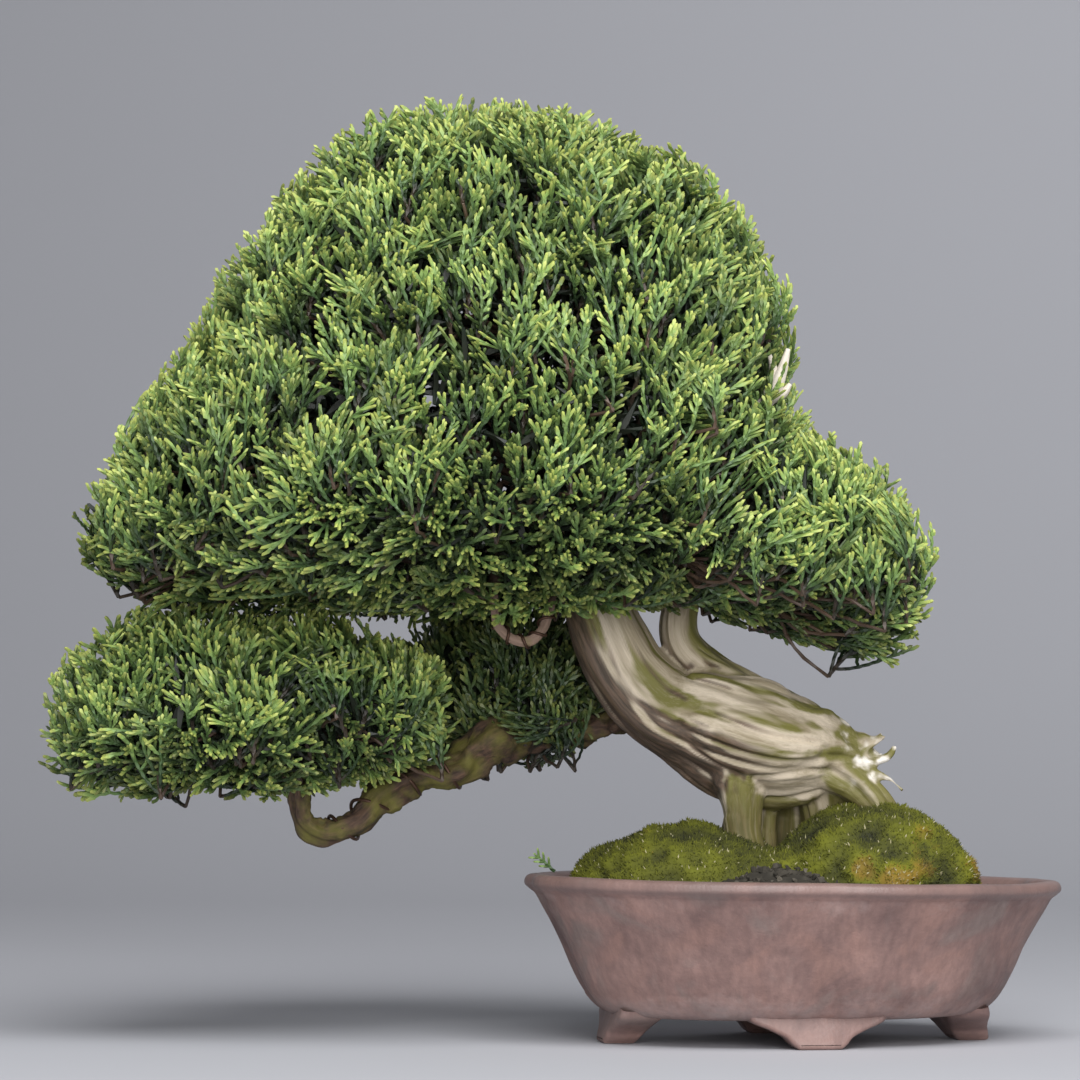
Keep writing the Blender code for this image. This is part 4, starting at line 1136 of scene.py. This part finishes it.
def build_wires():
    material = wire_material()
    for name, (branch, first, last, turns, wire_radius) in WIRES.items():
        limb = Limb(BRANCHES[branch], 14)
        steps = turns * 22
        spots = np.linspace(first * 14, last * 14, steps + 1)
        index = np.arange(len(limb.centre))
        turn = 2 * math.pi * np.arange(steps + 1) / 22
        centre, side, up = (np.column_stack([np.interp(spots, index, part[:, c]) for c in range(3)])
                            for part in (limb.centre, limb.side, limb.up))
        away = (np.interp(spots, index, limb.radius) * 0.98 + wire_radius)[:, None]
        line = centre + away * (np.cos(turn)[:, None] * side + np.sin(turn)[:, None] * up)
        path = np.column_stack([line, np.full(len(line), wire_radius)])
        points, faces, _ = Limb(path, 1).skin(10)
        wire = make_object(name.replace("training_", "wound_"), points, faces, material)
        rides(wire, [name])


# --- Foliage --------------------------------------------------------------------------------


def bent_line(start, lean_from, lean_to, heading, length, step):
    """A line that leaves at one lean off the axis and curves to another."""
    count = max(int(round(length / step)), 2)
    t = np.linspace(0, 1, count + 1)
    lean = lean_to + (lean_from - lean_to) * np.exp(-3.0 * t)
    way = np.column_stack([np.sin(lean) * math.cos(heading), np.sin(lean) * math.sin(heading),
                           np.cos(lean)])
    moves = (way[1:] + way[:-1]) / 2 * (length / count)
    return start + np.vstack([np.zeros(3), np.cumsum(moves, axis=0)]), way[-1]


def add_tips(sheaf, rng, end, way, tone, count):
    """A few short blunt tips at the end of a shoot."""
    side = unit(np.cross(way, rng.normal(size=3)))
    other = np.cross(way, side)
    for k in range(count):
        turn = 2.4 * k + rng.random()
        splay = 0.1 if k == 0 else 0.5 + 0.3 * rng.random()
        back = 0.0 if k == 0 else 0.6 + 1.3 * k * rng.random()
        head = unit(way + splay * (math.cos(turn) * side + math.sin(turn) * other))
        length = 1.7 + 1.3 * rng.random()
        start = end - way * back
        t = np.array((0.0, 0.5, 1.0))
        bend = 0.25 * (way - head)
        line = start + head * (t * length)[:, None] + bend * (t ** 2 * length)[:, None]
        sheaf.add(*cord(line, (0.42, 0.52, 0.44), (0.26, 0.12, 0.02), tone + 0.06 * rng.normal()))


def grow_shoot(rng, length):
    """One shoot: a woody foot, green cords that fan out of it, and their side twigs and tips."""
    sheaf = Sheaf()
    stem_line, _ = bent_line(np.zeros(3), 0.15 * rng.random(), 0.1 * rng.random(), 6.28 * rng.random(),
                             0.45 * length, 1.5)
    ages = np.linspace(0.97, 0.62, len(stem_line))
    sheaf.add(*cord(stem_line, np.linspace(0.55, 0.5, len(stem_line)), ages, 0.4))
    cords = 5
    spread = 6.28 * rng.random()
    for k in range(cords):
        share = 0.06 + 0.86 * (k + 0.5 * rng.random()) / cords
        start = stem_line[0] + (stem_line[-1] - stem_line[0]) * share
        heading = spread + k * 2.4 + 0.5 * rng.normal()
        reach = (1.0 - 0.45 * share) * length * (0.8 + 0.2 * rng.random())
        lean_from = 0.7 + 0.3 * rng.random() - 0.35 * share
        lean_to = 0.24 * (1 - share) + 0.03 + 0.16 * rng.random()
        tone = 0.5 + 0.14 * rng.normal()
        line, way = bent_line(start, lean_from, lean_to, heading, reach, 1.15)
        ages = np.linspace(0.68, 0.24, len(line))
        sheaf.add(*cord(line, np.linspace(0.42, 0.46, len(line)), ages, tone))
        add_tips(sheaf, rng, line[-1], way, tone, rng.integers(2, 4))
        for side_share in np.sort(rng.uniform(0.3, 0.88, rng.integers(3, 5))):
            index = int(side_share * (len(line) - 1))
            turn = heading + (1.5 if rng.random() < 0.5 else -1.5) + 0.6 * rng.normal()
            rise = 2.2 + 2.8 * rng.random() * (1.2 - side_share)
            side_line, side_way = bent_line(line[index], lean_to + 0.75, lean_to + 0.3, turn, rise, 1.15)
            young = 0.55 - 0.38 * side_share
            ages = np.linspace(young + 0.1, young * 0.35, len(side_line))
            shade = tone + 0.05 * rng.normal()
            sheaf.add(*cord(side_line, np.linspace(0.39, 0.46, len(side_line)), ages, shade))
            if rng.random() < 0.4:
                add_tips(sheaf, rng, side_line[-1], side_way, shade, 2)
    return sheaf.gathered()


ENVELOPE_SWELL = 5.0
ENVELOPE_VOXEL = 2.6
ENVELOPE_ROUNDS = 12
UNDERSIDE = -0.45
UNDERSIDE_SHARE = 0.15
TIP_STRAY = 0.8
# painted shade laid over every shoot of the rear pad
REAR_SHADE = 0.72
# dark twigs, painted shade, laid inside each deep shoot
INNER_SHADED_TWIGS = 4
INNER_ROOM = 36.0  # depth of cloud that hides the inner twigs
BURIED = (2.5, 11.0)  # depths where shoots begin to lose and have lost the light
HEARTS = {  # middle of each group of clouds
    "crown": np.array((-66.0, 0.0, 122.0)),
    "low": np.array((-126.0, -2.0, 76.0)),
    "rear": np.array((-60.0, 28.0, 84.0)),
}
DOMES = {  # height, left and right edges, middle and half of the depth
    "crown": [
        (97.5, -130.0, -30.0, 0.0, 34.0), (99.5, -148.0, -16.0, 0.0, 50.0),
        (104.0, -162.0, -4.0, 0.0, 63.0),
        (110.0, -167.5, 3.0, 0.0, 70.0), (120.0, -168.5, 5.5, 0.0, 74.0),
        (132.0, -165.0, 5.0, 0.0, 76.0),
        (147.0, -158.5, 3.0, 0.0, 75.0), (160.0, -149.0, 1.0, 0.0, 72.0),
        (175.0, -137.5, 1.5, 0.0, 67.0),
        (190.0, -129.0, -6.0, 0.0, 59.0), (204.0, -116.5, -19.0, 0.0, 47.0),
        (213.0, -103.5, -36.0, 0.0, 35.0),
        (218.5, -92.0, -51.0, 0.0, 22.0), (221.0, -82.0, -64.0, 0.0, 9.0)],
    "right": [
        (84.5, 14.0, 25.0, -6.0, 8.0), (90.0, 6.0, 29.5, -6.0, 17.0),
        (95.0, -12.0, 33.0, -5.0, 26.0),
        (100.0, -30.0, 34.0, -4.0, 40.0), (105.0, -42.0, 34.5, -3.0, 50.0),
        (112.0, -45.0, 34.5, -2.0, 53.0),
        (122.0, -40.0, 31.0, -2.0, 50.0), (132.0, -30.0, 24.0, -2.0, 42.0),
        (140.0, -20.0, 15.5, -2.0, 32.0),
        (146.0, -12.0, 4.0, -2.0, 18.0)],
    "low": [
        (55.0, -166.0, -122.0, -4.0, 20.0), (58.0, -170.0, -92.0, -4.0, 30.0),
        (63.0, -173.0, -82.0, -4.0, 37.0),
        (70.0, -175.0, -79.0, -3.0, 40.0), (77.0, -175.0, -78.5, -3.0, 41.0),
        (85.0, -173.0, -79.0, -3.0, 40.0),
        (92.0, -169.0, -83.0, -3.0, 36.0), (98.0, -161.0, -96.0, -3.0, 27.0),
        (103.0, -148.0, -118.0, -3.0, 12.0)],
    "rear": [
        (64.0, -78.0, -52.0, 34.0, 8.0), (68.0, -90.0, -42.0, 34.0, 16.0),
        (75.0, -95.0, -36.0, 34.0, 20.0),
        (85.0, -96.0, -34.0, 34.0, 20.0), (95.0, -92.0, -38.0, 34.0, 18.0),
        (104.0, -84.0, -46.0, 34.0, 12.0)],
    "rear_front": [
        (65.0, -74.0, -52.0, 16.0, 8.0), (68.0, -79.0, -45.0, 16.0, 13.0),
        (75.0, -82.0, -40.0, 16.0, 16.0),
        (84.0, -83.0, -40.0, 16.0, 16.0), (92.0, -80.0, -44.0, 16.0, 13.0),
        (98.0, -74.0, -52.0, 16.0, 7.0)],
}
JOINED = {"crown": ("crown", "right"), "low": ("low",), "rear": ("rear", "rear_front")}
DOME_LUMP = 3.2
DOME_LUMP_SIZE = 21.0


def group_of(node):
    if node.startswith("foliage_bottom"):
        return "low"
    return "rear" if node.startswith("foliage_rear_low") else "crown"


def surface_of(thing):
    """Corners and triangles of an object, in millimetres from the pot's middle."""
    mesh = thing.data
    mesh.calc_loop_triangles()
    places = np.empty(len(mesh.vertices) * 3)
    mesh.vertices.foreach_get("co", places)
    index = np.empty(len(mesh.loop_triangles) * 3, int)
    mesh.loop_triangles.foreach_get("vertices", index)
    places = (places.reshape(-1, 3) - POT_PLACE) / MM
    return places, index.reshape(-1, 3)


def dome_skin(rows):
    """A rounded mass: an oval at each height."""
    sides = 64
    turn = 2 * math.pi * np.arange(sides) / sides
    rings = [np.column_stack([(left + right) / 2 + (right - left) / 2 * np.cos(turn),
                              y + depth * np.sin(turn),
                              np.full(sides, z)]) for z, left, right, y, depth in rows]
    count = len(rings)
    return np.vstack(rings), triangles(ring_quads(count, sides), end_caps(count, sides))


def envelope(group, material):
    """One smooth skin round the masses of a group of clouds."""
    sheaf = Sheaf()
    for mass in JOINED[group]:
        places, index = dome_skin(DOMES[mass])
        away = unit(places - places.mean(0))
        sheaf.add(places + away * ENVELOPE_SWELL, index, np.zeros((len(places), 2)))
    points, faces, _ = sheaf.gathered()
    skin = make_object("envelope", points, [faces], material)
    join = skin.modifiers.new("join", "REMESH")
    join.mode = "VOXEL"
    join.voxel_size = ENVELOPE_VOXEL * MM
    applied(skin)
    places, _, edges = mesh_arrays(skin.data)
    places = relaxed(places, edges, ENVELOPE_ROUNDS)
    skin.data.vertices.foreach_set("co", places.ravel())
    skin.data.update()
    places, normals, _ = mesh_arrays(skin.data)
    lump = DOME_LUMP * layered((places - POT_PLACE) / MM / DOME_LUMP_SIZE, 2, 97)
    shrink = ENVELOPE_SWELL - lump
    skin.data.vertices.foreach_set("co", (places - normals * shrink[:, None] * MM).ravel())
    places, index = surface_of(skin)
    bpy.data.objects.remove(skin)
    return places, normals, index


def scatter(rng, spacing, material):
    """Where shoots end on the clouds: pad, place, outward direction, heart and depth of the cloud."""
    trees = {}
    for node in PADS:
        places, index = surface_of(bpy.data.objects[node])
        trees[node] = BVHTree.FromPolygons([Vector(p) for p in places], [tuple(t) for t in index])
    found = []
    for group, heart in HEARTS.items():
        nodes = [node for node in PADS if group_of(node) == group]
        places, normals, index = envelope(group, material)
        skin = BVHTree.FromPolygons([Vector(p) for p in places], [tuple(t) for t in index])
        a, b, c = (places[index[:, k]] for k in range(3))
        area = np.linalg.norm(np.cross(b - a, c - a), axis=1) / 2
        count = int(area.sum() / spacing ** 2 * 14)
        pick = rng.choice(len(area), count, p=area / area.sum())
        mix = rng.dirichlet((1, 1, 1), count)
        spots = sum(places[index[pick, k]] * mix[:, k:k + 1] for k in range(3))
        ways = unit(sum(normals[index[pick, k]] * mix[:, k:k + 1] for k in range(3)))
        cells = {}
        for spot, way in zip(spots, ways):
            if way @ unit(spot - heart) < -0.3:
                continue
            if way[2] < UNDERSIDE and rng.random() > UNDERSIDE_SHARE:
                continue
            key = tuple(np.floor(spot / spacing).astype(int))
            crowd = [q for i in (-1, 0, 1) for j in (-1, 0, 1) for k in (-1, 0, 1)
                     for q in cells.get((key[0] + i, key[1] + j, key[2] + k), ())]
            if crowd and np.min(((np.array(crowd) - spot) ** 2).sum(1)) < spacing ** 2:
                continue
            cells.setdefault(key, []).append(spot)
            node = min(nodes, key=lambda other: trees[other].find_nearest(Vector(spot - 3.0 * way))[3])
            across = skin.ray_cast(Vector(spot - 0.5 * way), Vector(-way))[3] or 0.0
            found.append((node, spot, way, heart, across))
    return found


def twig_between(sheaf, rng, start, end, thick, thin, tone):
    """A brown twig that sags and wanders a little between two places."""
    apart = end - start
    length = np.linalg.norm(apart)
    if length < 0.5:
        return
    count = max(int(length / 3.0), 3)
    t = np.linspace(0, 1, count + 1)
    stray = unit(np.cross(apart, rng.normal(size=3))) * length * 0.1
    line = start + apart * t[:, None] + stray * np.sin(math.pi * t)[:, None]
    line[1:-1] += 0.25 * rng.normal(size=(count - 1, 3))
    ages = np.linspace(0.99, 0.9, count + 1)
    sheaf.add(*cord(line, np.linspace(thick, thin, count + 1), ages, tone, sides=4))


def build_foliage(settings):
    material = foliage_material(settings)
    rng = np.random.default_rng(SEED + 5)
    length = settings.shoot / MM
    shoots = [grow_shoot(rng, length * (0.85 + 0.3 * rng.random())) for _ in range(30)]
    found = scatter(rng, settings.spacing / MM, material)
    stems = Limb(TRUNK, 4)
    ends = [np.array(route[-1][:3]) for route in BRANCHES.values()]
    ends += [place for place in stems.centre if place[2] > 96.0]
    sheaves = {name: Sheaf() for name in PADS}
    roots = {name: [] for name in PADS}
    up = np.array((0.0, 0.0, 1.0))
    for name, spot, way, heart, across in found:
        outward = unit((spot - heart) * (1.0, 1.0, 0.0))
        rise = unit(0.36 * way + 0.9 * up)
        droop = unit(0.95 * outward + 0.12 * up + 0.35 * way)
        share = 0.92 * float(smoothstep(0.05, -0.45, way[2]))
        grow = unit(rise * (1 - share) + droop * share + 0.24 * rng.normal(size=3))
        points, faces, palette = shoots[rng.integers(len(shoots))]
        size = 0.86 + 0.26 * rng.random()
        side = unit(np.cross(grow, rng.normal(size=3)))
        turned = np.column_stack([side, np.cross(grow, side), grow])
        bend = 0.012 * rng.normal(size=2)
        shape = points * size
        shape = shape + np.column_stack([bend * shape[:, 2:3] ** 2, np.zeros(len(shape))])
        shape = shape @ turned.T
        root = spot - shape[(shape @ way).argmax()] - way * abs(TIP_STRAY * rng.normal())
        patch = 0.16 * noise((spot / 14.0)[None], 91)[0] + 0.08 * rng.normal()
        # Painted shade: shoots facing down and all shoots of the rear pad are darkened.
        patch -= 0.3 * smoothstep(-0.1, -0.7, way[2]) + (REAR_SHADE if group_of(name) == "rear" else 0.0)
        # Painted shade: the deeper parts of each shoot are darker and browner.
        buried = smoothstep(*BURIED, (spot - root - shape) @ way)
        tones = np.clip(palette + np.column_stack([0.12 * buried, patch - 0.37 * buried]), 0.0, 1.0)
        sheaves[name].add(shape + root, faces, tones)
        roots[name].append(root)
        # Twigs deep inside the cloud, in the darkest tone and the inner stop: painted shade.
        for _ in range(INNER_SHADED_TWIGS if across > INNER_ROOM else 0):
            start = spot - way * (10.0 + 10.0 * rng.random()) + 1.5 * rng.normal(size=3)
            run = unit(rng.normal(size=3))
            run = run - way * (max(run @ way, 0.0) + 0.25)
            line = start + run * np.linspace(0.0, 7.0 + 5.0 * rng.random(), 3)[:, None]
            sheaves[name].add(*cord(line, (0.5, 0.85, 0.5), (0.7, 0.74, 0.7), 0.0))
    for name in PADS:
        spots = np.array(roots[name])
        if not len(spots):
            spots = surface_of(bpy.data.objects[name])[0].mean(0)[None]
        middle = spots.mean(0)
        middle = middle + 0.3 * (HEARTS[group_of(name)] - middle)
        hubs = spots[rng.choice(len(spots), min(7, len(spots)), replace=False)]
        for _ in range(4):
            nearest = ((spots[:, None] - hubs[None]) ** 2).sum(-1).argmin(1)
            hubs = np.array([spots[nearest == k].mean(0) if np.any(nearest == k) else hubs[k]
                             for k in range(len(hubs))])
        hubs = hubs * 0.5 + middle * 0.5
        for spot, k in zip(spots, nearest):
            twig_between(sheaves[name], rng, hubs[k], spot, 0.5, 0.42, 0.35 + 0.1 * rng.normal())
        for hub in hubs:
            twig_between(sheaves[name], rng, middle, hub, 0.9, 0.55, 0.35)
        start = min(ends, key=lambda place: np.linalg.norm(place - middle))
        twig_between(sheaves[name], rng, start, middle, 1.4, 0.9, 0.3)
        points, faces, palette = sheaves[name].gathered()
        pad = make_object(name.replace("foliage", "shoots"), points, [faces], material, smooth=False,
                          palette=palette)
        rides(pad, [name])


def build_sprig(settings):
    material = bpy.data.materials.get("juniper_scale_leaves") or foliage_material(settings)
    rng = np.random.default_rng(SEED + 6)
    sheaf = Sheaf()
    path = curve_through(STRAY_SPRIG, 4)
    sheaf.add(*cord(path[:, :3], path[:, 3] * 0.7, np.linspace(0.6, 0.2, len(path)), 0.4))
    for k in (2, 4, 6):
        way = unit(path[min(k + 1, len(path) - 1), :3] - path[k - 1, :3])
        for side in (-1, 1):
            head = unit(way + side * 0.8 * unit(np.cross(way, (0.2, 1.0, 0.1))))
            line = path[k, :3] + head * np.linspace(0, 2.4, 4)[:, None]
            sheaf.add(*cord(line, (0.3, 0.34, 0.32, 0.25), (0.4, 0.3, 0.2, 0.1),
                            0.5 + 0.1 * rng.normal()))
    points, faces, palette = sheaf.gathered()
    sprig = make_object("fallen_sprig", points, [faces], material, smooth=False, palette=palette)
    rides(sprig, ["stray_sprig"])


# --- Stage -----------------------------------------------------------------------------------


def add_area_light(name, place, aim, size, power):
    light = bpy.data.lights.new(name, "AREA")
    light.shape = "RECTANGLE"
    light.size, light.size_y = size
    light.energy = power
    lamp = bpy.data.objects.new(name, light)
    bpy.context.scene.collection.objects.link(lamp)
    lamp.location = place
    lamp.rotation_euler = (Vector(aim) - Vector(place)).to_track_quat("-Z", "Y").to_euler()


SWEEP_HALF_WIDTH = 4000.0
SWEEP_FRONT = -3000.0
SWEEP_BACK = 900.0
SWEEP_BEND = 1200.0
SWEEP_TOP = 5000.0
CAMERA_PLACE = (-59.0, -950.0, 66.0)
CAMERA_LENS = 135.0
CAMERA_SENSOR = 36.0
CAMERA_TILT = 3.07  # degrees above level


def build_stage(settings):
    bend = [(0.0, SWEEP_FRONT), (0.0, SWEEP_BACK)]
    for k in range(1, 25):
        a = math.pi / 2 * k / 24
        bend.append((SWEEP_BEND - SWEEP_BEND * math.cos(a), SWEEP_BACK + SWEEP_BEND * math.sin(a)))
    bend.append((SWEEP_TOP, SWEEP_BACK + SWEEP_BEND))
    points = np.array([(x, y, z) for z, y in bend for x in (-SWEEP_HALF_WIDTH, SWEEP_HALF_WIDTH)])
    quads = np.array([(2 * k, 2 * k + 1, 2 * k + 3, 2 * k + 2) for k in range(len(bend) - 1)])
    sweep = make_object("sweep", points, [quads], paint_material(settings.sweep))
    world = bpy.data.worlds.new("studio_room")
    world.use_nodes = True
    room = world.node_tree.nodes["Background"]
    room.inputs["Color"].default_value = rgba(linear("#F2F4F8"))
    room.inputs["Strength"].default_value = settings.surroundings
    bpy.context.scene.world = world
    aim = (POT_PLACE[0] - 0.05, POT_PLACE[1], 0.12)
    wide = (1.0, 0.8)
    add_area_light("overhead_softbox", (aim[0] + 0.16, aim[1] - 0.8, 1.1), aim, wide, settings.key_power)
    add_area_light("front_fill", (aim[0] + 0.1, aim[1] - 1.5, 0.35), aim, wide, settings.fill_power)
    wall = (aim[0] + 1.2, 2.1, 0.9)
    add_area_light("wall_wash", (aim[0] + 0.9, 0.7, 1.6), wall, (1.2, 0.5), settings.wash_power)
    bpy.context.scene.view_settings.view_transform = "Standard"
    camera = bpy.data.objects.new("camera", bpy.data.cameras.new("camera"))
    bpy.context.scene.collection.objects.link(camera)
    camera.data.lens = CAMERA_LENS
    camera.data.sensor_width = CAMERA_SENSOR
    camera.data.clip_start, camera.data.clip_end = 0.05, 20.0
    camera.location = (POT_PLACE / MM + CAMERA_PLACE) * MM
    camera.rotation_euler = (math.radians(90 + CAMERA_TILT), 0.0, 0.0)
    bpy.context.scene.camera = camera


def use_screens():
    material = screen_material()
    for name in ("drainage_screen_left", "drainage_screen_right"):
        for slot in bpy.data.objects[name].material_slots:
            slot.material = material


# --- Add-on ---------------------------------------------------------------------------------


class BONSAI_OT_stage(bpy.types.Operator):
    """Builds the pale sweep, the soft lights and the camera"""
    bl_idname = "bonsai.stage"
    bl_label = "Stage"

    def execute(self, context):
        build_stage(context.scene.bonsai_stage)
        return {"FINISHED"}


class BONSAI_OT_pot(bpy.types.Operator):
    """Builds the lobed clay pot with its feet and drainage holes"""
    bl_idname = "bonsai.pot"
    bl_label = "Pot"

    def execute(self, context):
        build_pot(context.scene.bonsai_pot)
        return {"FINISHED"}


class BONSAI_OT_screens(bpy.types.Operator):
    """Gives the drainage screens their moulded plastic"""
    bl_idname = "bonsai.screens"
    bl_label = "Drainage screens"

    def execute(self, context):
        use_screens()
        return {"FINISHED"}


class BONSAI_OT_soil(bpy.types.Operator):
    """Builds the soil with its loose grains"""
    bl_idname = "bonsai.soil"
    bl_label = "Soil"

    def execute(self, context):
        build_soil(context.scene.bonsai_ground)
        return {"FINISHED"}


class BONSAI_OT_moss(bpy.types.Operator):
    """Builds the moss cushions"""
    bl_idname = "bonsai.moss"
    bl_label = "Moss"

    def execute(self, context):
        build_moss(context.scene.bonsai_ground)
        return {"FINISHED"}


class BONSAI_OT_trunk(bpy.types.Operator):
    """Builds the driftwood trunk with its roots, its stump and the spike in the crown"""
    bl_idname = "bonsai.trunk"
    bl_label = "Trunk"

    def execute(self, context):
        build_trunk(context.scene.bonsai_wood)
        return {"FINISHED"}


class BONSAI_OT_branches(bpy.types.Operator):
    """Builds the branches in their live bark"""
    bl_idname = "bonsai.branches"
    bl_label = "Branches"

    def execute(self, context):
        build_branches(context.scene.bonsai_wood)
        return {"FINISHED"}


class BONSAI_OT_wires(bpy.types.Operator):
    """Winds the training wires round their branches"""
    bl_idname = "bonsai.wires"
    bl_label = "Training wires"

    def execute(self, context):
        build_wires()
        return {"FINISHED"}


class BONSAI_OT_foliage(bpy.types.Operator):
    """Grows the shoots and twigs of every foliage pad"""
    bl_idname = "bonsai.foliage"
    bl_label = "Foliage"

    def execute(self, context):
        build_foliage(context.scene.bonsai_foliage)
        return {"FINISHED"}


class BONSAI_OT_sprig(bpy.types.Operator):
    """Lays the small fallen sprig on the rim"""
    bl_idname = "bonsai.sprig"
    bl_label = "Sprig"

    def execute(self, context):
        build_sprig(context.scene.bonsai_foliage)
        return {"FINISHED"}


STEPS = (
    BONSAI_OT_stage, BONSAI_OT_pot, BONSAI_OT_screens, BONSAI_OT_soil, BONSAI_OT_moss,
    BONSAI_OT_trunk, BONSAI_OT_branches, BONSAI_OT_wires, BONSAI_OT_foliage, BONSAI_OT_sprig,
)
SETTINGS = {
    "bonsai_stage": BonsaiStageSettings,
    "bonsai_pot": BonsaiPotSettings,
    "bonsai_ground": BonsaiGroundSettings,
    "bonsai_wood": BonsaiWoodSettings,
    "bonsai_foliage": BonsaiFoliageSettings,
}


class BONSAI_PT_panel(bpy.types.Panel):
    """Lists the steps that build the bonsai, with their settings"""
    bl_label = "Juniper bonsai"
    bl_idname = "BONSAI_PT_panel"
    bl_space_type = "VIEW_3D"
    bl_region_type = "UI"
    bl_category = "Bonsai"

    def draw(self, context):
        for step in STEPS:
            self.layout.operator(step.bl_idname)
        for key in SETTINGS:
            settings = getattr(context.scene, key)
            box = self.layout.box()
            for field in settings.__annotations__:
                box.prop(settings, field)


def register():
    for kind in (*SETTINGS.values(), *STEPS, BONSAI_PT_panel):
        bpy.utils.register_class(kind)
    for key, kind in SETTINGS.items():
        setattr(bpy.types.Scene, key, PointerProperty(type=kind))


def unregister():
    for key in SETTINGS:
        delattr(bpy.types.Scene, key)
    for kind in (BONSAI_PT_panel, *reversed(STEPS), *SETTINGS.values()):
        bpy.utils.unregister_class(kind)


def main():
    register()
    for step in STEPS:
        group, action = step.bl_idname.split(".")
        if getattr(getattr(bpy.ops, group), action)() != {"FINISHED"}:
            raise RuntimeError(f"{step.bl_label} was not finished")


if __name__ == "__main__":
    main()
